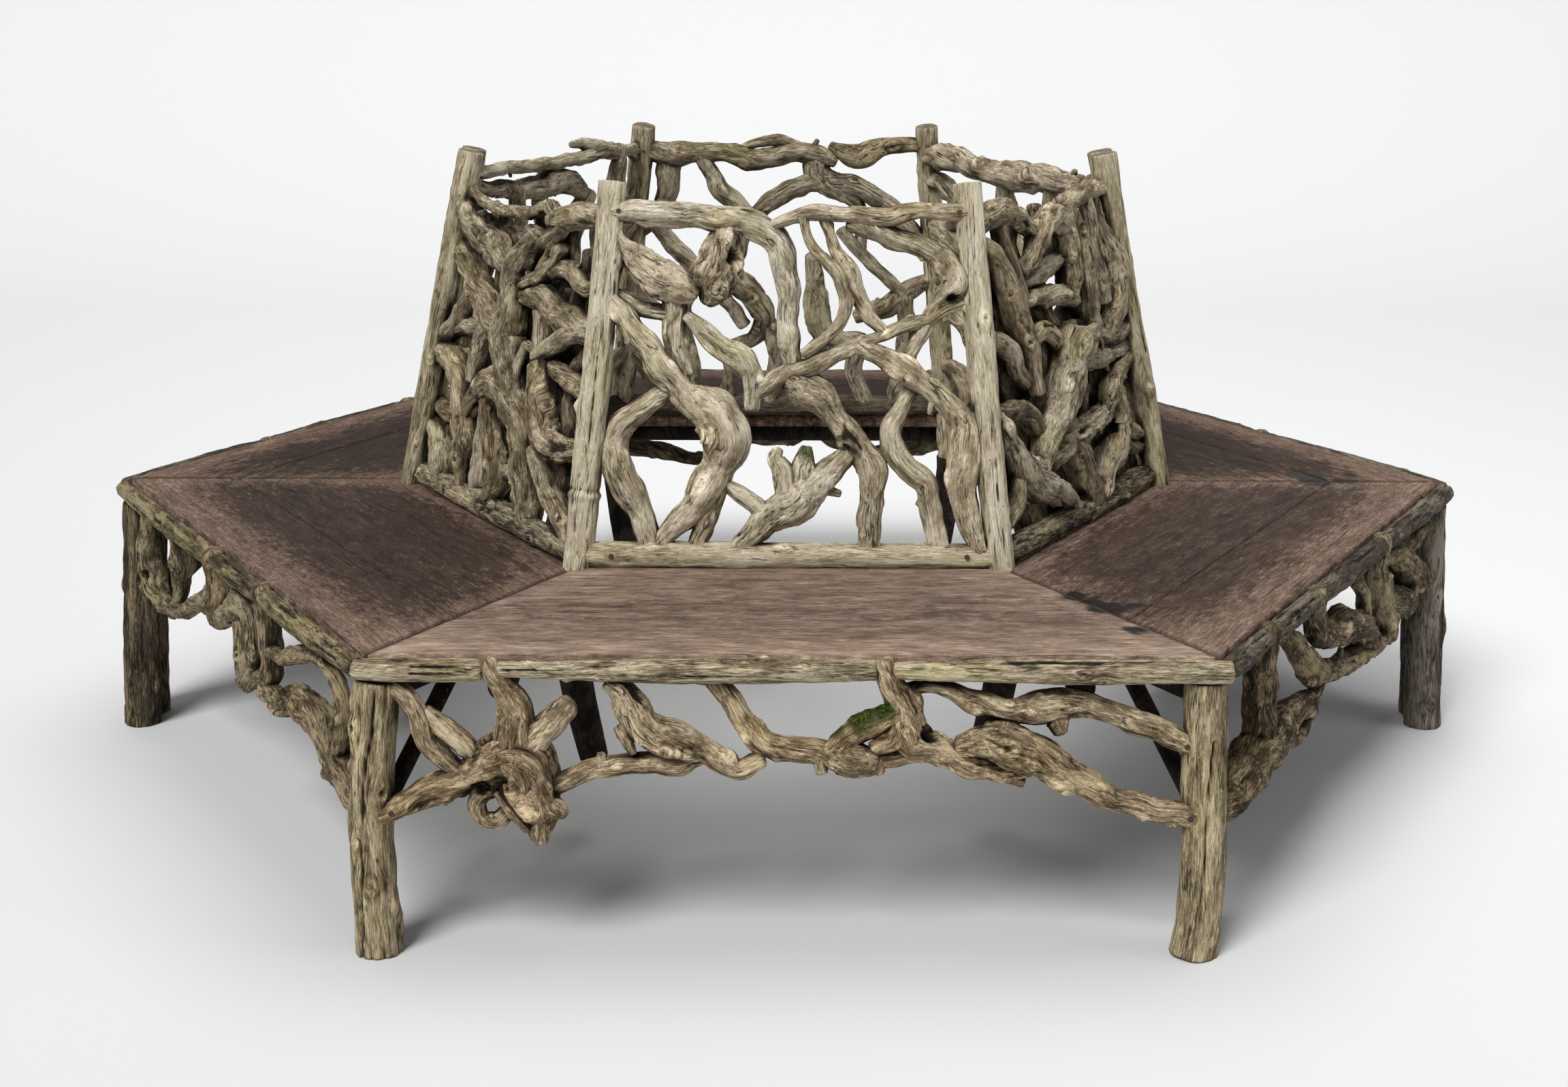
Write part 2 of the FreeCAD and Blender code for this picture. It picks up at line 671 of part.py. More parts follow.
FRONT_TOP_RAILS = [
    [
        (-272, 547, 6, 17), (-238, 545, 6, 19), (-180, 541, 6, 20), (-110, 536, 6, 21), (-58, 525, 4, 20),
        (-22, 501, 2, 21), (-8, 458, 0, 20), (-3, 400, 0, 17), (0, 350, 0, 16), (4, 315, 0, 13),
    ],
    [
        (-32, 524, 10, 7), (5, 538, 10, 10), (50, 546, 10, 13), (100, 543, 10, 13), (150, 539, 10, 14),
        (205, 548, 10, 13), (268, 546, 10, 12),
    ],
]
FRONT_BACK = [
    [(92, 532, 0, 14), (150, 512, 0, 16), (200, 495, 0, 17), (240, 470, 0, 22), (258, 438, 0, 26),
     (225, 402, 0, 15), (205, 365, 0, 13), (180, 320, 0, 11)],
    [(-272, 530, 8, 8), (-258, 500, 8, 11), (-235, 475, 8, 24), (-205, 450, 8, 30), (-172, 432, 8, 26),
     (-148, 418, 8, 14)],
    [(-103, 522, 0, 18), (-105, 495, 0, 27), (-112, 455, 0, 36), (-118, 425, 0, 26), (-128, 408, 0, 12)],
    [(-292, 430, 10, 9), (-268, 400, 10, 13), (-232, 355, 10, 16), (-195, 305, 8, 18), (-160, 268, 6, 21),
     (-118, 238, 4, 38), (-100, 195, 2, 38), (-115, 150, 0, 28), (-138, 105, 0, 24), (-175, 68, 0, 18),
     (-212, 28, 0, 11)],
    [(-110, 150, -4, 22), (-120, 100, -4, 18), (-135, 60, -4, 15), (-145, 30, -4, 14)],
    [(-180, 278, -2, 13), (-225, 247, -2, 17), (-262, 215, -2, 20), (-274, 185, -2, 24), (-268, 150, -2, 25),
     (-245, 110, -2, 24), (-226, 75, -2, 20), (-219, 30, -2, 16)],
    [(-178, 412, -6, 20), (-178, 370, -6, 18), (-176, 335, -6, 17), (-160, 298, -6, 12)],
    [(-185, 392, -6, 12), (-225, 397, -6, 12), (-252, 414, -6, 10), (-280, 425, -6, 9)],
    [(-160, 388, 6, 9), (-135, 368, 6, 14), (-105, 340, 6, 18), (-78, 325, 6, 19), (-60, 300, 6, 16),
     (-58, 245, 6, 12)],
    [(-82, 24, 0, 13), (-50, 58, 0, 20), (-12, 88, 0, 26), (18, 105, 0, 30), (55, 140, 0, 20),
     (90, 175, 0, 16), (102, 196, 0, 10)],
    [(-124, 138, 0, 7), (-90, 122, 0, 11), (-62, 104, 0, 14), (-36, 78, 0, 16)],
    [(-2, 108, 2, 20), (-8, 145, 2, 17), (-22, 168, 2, 12), (-16, 182, 2, 7)],
    [(15, 118, -2, 20), (22, 160, -2, 18), (26, 184, -2, 9)],
    [(0, 290, 0, 18), (25, 275, 0, 30), (50, 262, 0, 26), (75, 225, 0, 19), (100, 193, 0, 20),
     (128, 155, 0, 23), (128, 105, 0, 19), (124, 65, 0, 18), (126, 26, 0, 17)],
    [(-62, 262, 4, 10), (-30, 285, 4, 16), (5, 303, 6, 16), (45, 317, 6, 15), (90, 335, 6, 12),
     (120, 350, 6, 9), (155, 364, 6, 10), (200, 380, 6, 10), (245, 400, 6, 9), (290, 415, 6, 7)],
    [(18, 540, 14, 7), (30, 500, 14, 8), (55, 470, 14, 9), (75, 445, 14, 10), (86, 412, 14, 10),
     (78, 380, 14, 10), (55, 355, 14, 9), (20, 330, 12, 7)],
    [(50, 538, 2, 8), (70, 490, 2, 10), (95, 455, 2, 16), (103, 425, 2, 14), (115, 400, 2, 12),
     (146, 362, 4, 9)],
    [(105, 342, 8, 12), (140, 325, 8, 17), (175, 310, 8, 19), (205, 288, 8, 17), (240, 258, 8, 19),
     (268, 225, 8, 23), (272, 190, 8, 26), (270, 150, 8, 25), (272, 100, 8, 23), (282, 65, 8, 19),
     (298, 24, 8, 12)],
    [(200, 284, -4, 8), (174, 247, -4, 13), (159, 218, -4, 17), (160, 185, -4, 19), (182, 155, -4, 18),
     (212, 130, -4, 19), (222, 95, -4, 19), (236, 28, -4, 17)],
]
FRONT_LEFT_TOP_RAILS = [
    [(-296, 536, 4, 10), (-225, 518, 4, 11), (-160, 508, 4, 10), (-75, 507, 4, 10), (5, 515, 4, 11),
     (70, 528, 4, 12), (110, 520, 4, 14)],
    [(88, 510, 0, 18), (150, 522, 0, 24), (215, 532, 0, 20), (275, 535, 0, 16)],
]
FRONT_LEFT_BACK = [
    [(-300, 520, 4, 16), (-250, 492, 4, 22), (-180, 462, 4, 25), (-110, 440, 4, 25), (-55, 420, 4, 18)],
    [(-300, 452, 0, 16), (-260, 425, 0, 20), (-200, 392, 0, 24), (-150, 360, 0, 25), (-95, 325, 0, 24),
     (-45, 290, 0, 18), (-20, 262, 0, 14)],
    [(55, 482, 8, 14), (12, 450, 8, 24), (-8, 405, 8, 28), (-5, 355, 8, 26), (-8, 305, 8, 28),
     (15, 255, 8, 28), (45, 215, 8, 20)],
    [(-212, 372, 0, 15), (-212, 340, 0, 16), (-235, 300, 0, 18), (-275, 268, 0, 18), (-304, 252, 0, 15)],
    [(18, 486, 10, 10), (60, 486, 10, 13), (105, 480, 10, 15), (138, 505, 8, 13)],
    [(125, 474, 4, 18), (100, 440, 4, 18), (65, 415, 4, 16), (10, 395, 4, 12)],
    [(90, 428, -4, 14), (150, 440, -6, 16), (220, 420, -6, 15), (292, 430, -6, 13)],
    [(20, 378, 2, 14), (100, 385, 2, 22), (160, 368, 2, 24), (230, 362, 2, 22), (300, 356, 2, 16)],
    [(104, 291, 6, 14), (165, 325, 6, 18), (235, 352, 6, 18), (297, 371, 4, 14)],
    [(78, 372, -4, 16), (95, 330, -4, 18), (118, 285, -4, 18)],
    [(118, 280, 4, 20), (145, 235, 4, 30), (165, 190, 4, 30), (200, 165, 4, 24), (265, 172, 4, 18),
     (315, 182, 2, 13)],
    [(150, 282, -6, 16), (215, 270, -6, 18), (280, 262, -6, 15), (318, 260, -6, 12)],
    [(-318, 225, 4, 16), (-270, 238, 4, 20), (-215, 228, 4, 24), (-170, 195, 4, 26), (-142, 150, 4, 26),
     (-130, 110, 4, 24), (-128, 65, 4, 17), (-118, 22, 4, 14)],
    [(-128, 160, 0, 20), (-90, 205, 0, 26), (-30, 222, 0, 32), (35, 205, 0, 34), (85, 165, 0, 30),
     (108, 110, 0, 26), (128, 65, 0, 24), (142, 24, 0, 19)],
    [(-322, 112, 0, 15), (-275, 102, 0, 18), (-243, 75, 0, 22), (-222, 45, 0, 25), (-218, 22, 0, 22)],
    [(-318, 150, -6, 13), (-250, 138, -6, 16), (-165, 142, -6, 14)],
    [(-88, 215, -6, 14), (-86, 120, -6, 15), (-85, 70, -6, 16), (-82, 22, -6, 16)],
    [(-60, 190, 6, 15), (-18, 122, 6, 20), (10, 88, 6, 24), (5, 55, 6, 22), (-12, 22, 6, 13)],
    [(10, 82, 2, 14), (50, 92, 0, 12), (108, 98, 0, 11)],
    [(120, 140, -2, 15), (200, 92, -2, 22), (255, 60, -2, 20), (298, 26, -2, 15)],
    [(-95, 318, 6, 16), (-125, 270, 6, 16), (-130, 212, 6, 15)],
    [(-318, 262, -6, 13), (-250, 285, -6, 14), (-180, 300, -6, 15), (-108, 312, -6, 13)],
    [(105, 300, 8, 9), (68, 305, 8, 9), (48, 286, 8, 9), (40, 250, 8, 9)],
]
FRONT_RIGHT_TOP_RAILS = [
    [(-270, 528, 4, 20), (-215, 536, 4, 23), (-160, 535, 4, 20), (-105, 515, 4, 15), (-60, 492, 4, 14)],
    [(60, 522, 2, 15), (120, 527, 2, 17), (190, 532, 2, 17), (270, 535, 2, 15)],
]
FRONT_RIGHT_BACK = [
    [(-135, 432, 8, 12), (-90, 455, 8, 16), (-40, 492, 8, 19), (5, 510, 8, 22), (42, 492, 8, 22),
     (52, 450, 8, 22), (48, 400, 8, 22), (40, 372, 8, 15)],
    [(-278, 500, 8, 12), (-245, 486, 8, 15), (-212, 450, 8, 20), (-182, 395, 8, 22), (-162, 340, 8, 22),
     (-142, 290, 8, 18), (-132, 240, 8, 14)],
    [(-185, 515, 0, 14), (-158, 445, 0, 16), (-140, 400, 0, 15), (-135, 350, 0, 12)],
    [(-140, 392, 2, 10), (-80, 388, 2, 16), (-20, 385, 2, 18), (40, 372, 2, 18), (72, 362, 2, 13)],
    [(-135, 415, -2, 9), (-70, 420, -2, 14), (0, 430, -2, 16), (50, 440, -2, 15)],
    [(72, 522, 4, 18), (92, 460, 4, 26), (102, 405, 4, 26), (110, 350, 4, 24), (128, 300, 4, 18),
     (138, 270, 4, 13)],
    [(158, 525, 6, 13), (168, 460, 6, 15), (176, 410, 6, 16), (190, 345, 6, 14)],
    [(200, 520, 0, 14), (210, 470, 0, 17), (235, 440, 0, 20), (250, 400, 0, 26), (240, 350, 0, 30),
     (215, 315, 0, 28), (190, 285, 0, 16)],
    [(250, 520, -8, 11), (268, 440, -8, 13), (282, 380, -6, 14), (262, 315, -4, 12)],
    [(128, 300, -2, 15), (190, 282, -2, 20), (250, 285, -2, 22), (310, 300, -2, 15)],
    [(-150, 112, 4, 14), (-115, 160, 4, 26), (-70, 200, 4, 34), (-25, 245, 4, 40), (15, 285, 4, 40),
     (60, 300, 4, 34), (130, 305, 2, 18)],
    [(-20, 262, 0, 30), (40, 268, 0, 26), (110, 258, 0, 20), (180, 252, 0, 17), (250, 255, 0, 14),
     (322, 262, 0, 11)],
    [(128, 160, 6, 13), (160, 190, 6, 24), (200, 215, 6, 18), (250, 232, 6, 14), (318, 246, 4, 11)],
    [(-300, 238, -2, 13), (-225, 228, -2, 16), (-170, 215, -2, 18), (-130, 180, -2, 17)],
    [(-300, 355, 2, 11), (-245, 340, 2, 18), (-205, 318, 2, 18), (-190, 290, 2, 16), (-158, 262, 2, 13)],
    [(-290, 232, 6, 12), (-250, 180, 6, 16), (-222, 135, 6, 24), (-180, 98, 6, 28), (-125, 78, 6, 24),
     (-72, 55, 6, 18), (-34, 28, 6, 13)],
    [(-210, 130, 0, 12), (-140, 125, 0, 18), (-70, 130, 0, 20), (0, 140, 0, 22), (60, 150, 0, 22),
     (120, 158, 0, 19), (168, 168, 0, 15)],
    [(-14, 130, 4, 26), (10, 80, 4, 28), (25, 52, 4, 26), (30, 24, 4, 24)],
    [(66, 24, 4, 16), (105, 65, 4, 24), (150, 92, 4, 26), (185, 120, 4, 24), (185, 190, 4, 22)],
    [(185, 135, 2, 18), (235, 110, 2, 16), (285, 98, 2, 14), (322, 90, 2, 12)],
    [(150, 100, 0, 12), (230, 82, 0, 12), (322, 60, 0, 11)],
    [(-142, 318, 4, 10), (-95, 335, 4, 16), (-60, 330, 4, 15), (-20, 300, 4, 14)],
    [(-302, 60, 2, 14), (-252, 85, 2, 16), (-225, 125, 2, 12)],
]
REAR_TOP_RAILS = [
    [(-272, 548, 0, 16), (-215, 535, 0, 24), (-150, 540, 0, 19), (-90, 532, 0, 18), (-50, 527, 0, 20),
     (10, 538, 0, 18), (60, 538, 0, 18), (96, 524, 0, 13)],
    [(88, 552, 4, 9), (110, 540, 4, 16), (140, 530, 4, 22), (175, 543, 4, 20), (210, 553, 4, 16),
     (270, 552, 4, 14)],
    [(-84, 545, 8, 7), (-45, 560, 8, 11), (-10, 562, 8, 11), (20, 553, 8, 9), (48, 538, 8, 7)],
]
REAR_BACK = [
    [(-228, 525, 4, 20), (-225, 490, 4, 24), (-232, 450, 4, 20), (-262, 400, 4, 15), (-292, 372, 2, 13)],
    [(-165, 535, -4, 14), (-138, 495, -4, 17), (-122, 465, -4, 20), (-95, 440, -4, 18), (-66, 412, -4, 13)],
    [(-88, 330, 0, 13), (-75, 380, 0, 14), (-55, 415, 0, 16), (-15, 450, 0, 18), (35, 475, 0, 19),
     (80, 482, 0, 20), (120, 478, 0, 20), (165, 460, 0, 19), (205, 432, 0, 18), (240, 395, 0, 16),
     (285, 345, 0, 13)],
    [(62, 540, 6, 18), (62, 505, 6, 26), (75, 485, 6, 26), (105, 465, 6, 22), (135, 440, 6, 16),
     (152, 405, 6, 13), (150, 345, 4, 12)],
    [(110, 385, -6, 12), (160, 330, -6, 13), (200, 290, -6, 13), (248, 240, -6, 12)],
    [(-285, 432, -6, 14), (-215, 350, -6, 17), (-165, 300, -6, 17), (-120, 250, -6, 15),
     (-80, 190, -6, 14)],
    [(-120, 345, 2, 18), (-110, 300, 2, 24), (-70, 255, 2, 24), (-38, 205, 2, 22), (-60, 160, 2, 17),
     (-110, 140, 2, 13)],
    [(55, 330, 6, 14), (60, 270, 6, 20), (65, 235, 6, 26), (70, 195, 6, 24), (95, 160, 6, 22),
     (160, 150, 6, 16)],
    [(145, 205, 0, 14), (200, 225, 0, 22), (250, 262, 0, 20), (298, 285, 0, 13)],
    [(-300, 130, 0, 20), (-262, 80, 0, 20), (-235, 28, 0, 18)],
    [(-190, 270, 4, 15), (-205, 190, 4, 20), (-190, 95, 4, 22), (-205, 28, 4, 18)],
    [(-30, 190, 0, 18), (-12, 120, 0, 20), (-30, 28, 0, 18)],
    [(150, 160, 0, 16), (142, 95, 0, 18), (165, 28, 0, 18)],
    [(240, 250, -4, 16), (245, 150, -4, 20), (230, 28, -4, 20)],
    [(85, 165, -2, 16), (50, 110, -2, 18), (66, 28, -2, 16)],
    [(-300, 255, 0, 14), (-250, 215, 0, 15), (-195, 175, 0, 14)],
    [(-120, 145, -4, 13), (-105, 90, -4, 16), (-120, 28, -4, 15)],
]
REAR_LEFT_TOP_RAILS = [
    [(-272, 545, 0, 12), (-180, 552, 0, 12), (-100, 545, 0, 11), (-20, 545, 0, 12), (60, 548, 0, 12),
     (140, 552, 0, 14), (215, 548, 0, 13), (272, 545, 0, 12)],
    [(-272, 528, 4, 12), (-200, 515, 4, 14), (-130, 505, 4, 18), (-60, 503, 4, 22), (0, 508, 4, 24),
     (60, 495, 4, 20), (112, 462, 4, 14)],
    [(42, 572, 8, 6), (95, 568, 8, 13), (150, 560, 8, 12), (208, 548, 8, 9)],
]
REAR_LEFT_BACK = [
    [(205, 548, 4, 10), (218, 505, 4, 12), (238, 462, 4, 11), (290, 440, 4, 10)],
    [(235, 545, 2, 9), (272, 515, 2, 10), (276, 480, 2, 10), (262, 452, 2, 9)],
    [(-296, 470, 0, 16), (-240, 430, 0, 22), (-170, 390, 0, 24), (-100, 360, 0, 20), (-60, 310, 0, 16),
     (-40, 250, 0, 14)],
    [(105, 478, 0, 18), (60, 400, 0, 24), (30, 340, 0, 24), (50, 280, 0, 22), (20, 210, 0, 20),
     (-40, 165, 0, 16)],
    [(302, 420, 0, 14), (240, 380, 0, 18), (180, 340, 0, 20), (120, 300, 0, 16), (42, 275, 0, 13)],
    [(-314, 300, 0, 16), (-240, 250, 0, 22), (-170, 230, 0, 26), (-100, 180, 0, 24), (-80, 110, 0, 22),
     (-104, 26, 0, 16)],
    [(318, 250, 0, 14), (240, 230, 0, 20), (160, 200, 0, 24), (110, 140, 0, 24), (130, 90, 0, 20),
     (118, 26, 0, 16)],
    [(-318, 130, 0, 16), (-240, 95, 0, 20), (-200, 60, 0, 20), (-188, 26, 0, 16)],
    [(20, 212, 4, 18), (10, 120, 4, 22), (-20, 80, 4, 20), (-8, 26, 4, 16)],
    [(322, 140, 0, 14), (250, 100, 0, 20), (220, 60, 0, 20), (242, 26, 0, 16)],
    [(-175, 400, 6, 13), (-200, 320, 6, 16), (-175, 235, 6, 15)],
    [(190, 560, -4, 12), (180, 470, -4, 15), (150, 400, -4, 17), (175, 325, -4, 14)],
    [(-130, 512, -4, 14), (-120, 440, -4, 17), (-150, 375, -4, 15)],
    [(-60, 505, -2, 14), (-30, 430, -2, 16), (35, 360, -2, 15)],
]
REAR_RIGHT_TOP_RAILS = [
    [(-272, 535, 0, 21), (-220, 538, 0, 24), (-150, 530, 0, 22), (-60, 522, 0, 22), (0, 522, 0, 27),
     (80, 527, 0, 25), (150, 527, 0, 20), (205, 531, 0, 13)],
    [(185, 522, 6, 12), (240, 535, 6, 14), (275, 540, 6, 13)],
]
REAR_RIGHT_BACK = [
    [(-290, 490, 0, 15), (-230, 482, 0, 18), (-205, 450, 0, 16), (-220, 408, 0, 14), (-296, 385, 0, 13)],
    [(-304, 410, 0, 18), (-230, 370, 0, 22), (-160, 340, 0, 24), (-100, 300, 0, 22), (-60, 250, 0, 20),
     (-40, 190, 0, 18)],
    [(-20, 522, 0, 18), (-40, 440, 0, 20), (-10, 380, 0, 20), (0, 320, 0, 18), (-60, 262, 0, 15)],
    [(290, 480, 0, 15), (200, 430, 0, 20), (140, 400, 0, 22), (80, 390, 0, 20), (-5, 355, 0, 16)],
    [(312, 330, 0, 16), (230, 300, 0, 20), (170, 270, 0, 24), (100, 260, 0, 26), (40, 230, 0, 24),
     (0, 180, 0, 22), (10, 120, 0, 20), (-20, 60, 0, 18), (-15, 26, 0, 17)],
    [(-316, 240, 0, 16), (-250, 220, 0, 20), (-190, 180, 0, 22), (-160, 130, 0, 24), (-170, 80, 0, 20),
     (-148, 26, 0, 18)],
    [(318, 190, 0, 14), (250, 160, 0, 20), (210, 120, 0, 22), (190, 80, 0, 20), (202, 26, 0, 18)],
    [(-322, 110, 0, 14), (-260, 90, 0, 18), (-240, 60, 0, 20), (-252, 26, 0, 18)],
    [(100, 270, 4, 16), (112, 170, 4, 18), (90, 110, 4, 20), (102, 26, 4, 17)],
    [(-60, 225, 4, 16), (-90, 150, 4, 18), (-78, 90, 4, 20), (-104, 26, 4, 17)],
    [(180, 440, -4, 15), (190, 340, -4, 17), (168, 262, -4, 14)],
    [(-150, 350, 6, 13), (-152, 290, 6, 15), (-130, 230, 6, 14), (-158, 160, 6, 13)],
    [(120, 525, -4, 13), (110, 470, -4, 16), (130, 395, -4, 15)],
]

BACKS = {
    "front": (FRONT_TOP_RAILS, FRONT_BACK, 1),
    "front_left": (FRONT_LEFT_TOP_RAILS, FRONT_LEFT_BACK, 1),
    "front_right": (FRONT_RIGHT_TOP_RAILS, FRONT_RIGHT_BACK, 1),
    "rear": (REAR_TOP_RAILS, REAR_BACK, -1),
    "rear_left": (REAR_LEFT_TOP_RAILS, REAR_LEFT_BACK, -1),
    "rear_right": (REAR_RIGHT_TOP_RAILS, REAR_RIGHT_BACK, -1),
}

for section, (top_routes, branch_routes, turned) in BACKS.items():
    held = [posts[corner].Shape for corner in SECTION_CORNERS[section]] + [back_rails[section]]
    if "_" in section:
        held.append(beyond_split(section, size("half_gap") / 2 + size("post_diameter") / 2))
    pieces = carved(section, top_routes + branch_routes, back_point, turned, held)
    feature(f"{section}_top_rails", sum(pieces[: len(top_routes)], []))
    feature(f"{section}_back_branches", sum(pieces[len(top_routes) :], []))

# Routes of the apron branches: across, above the floor, out of the legs' plane and radius

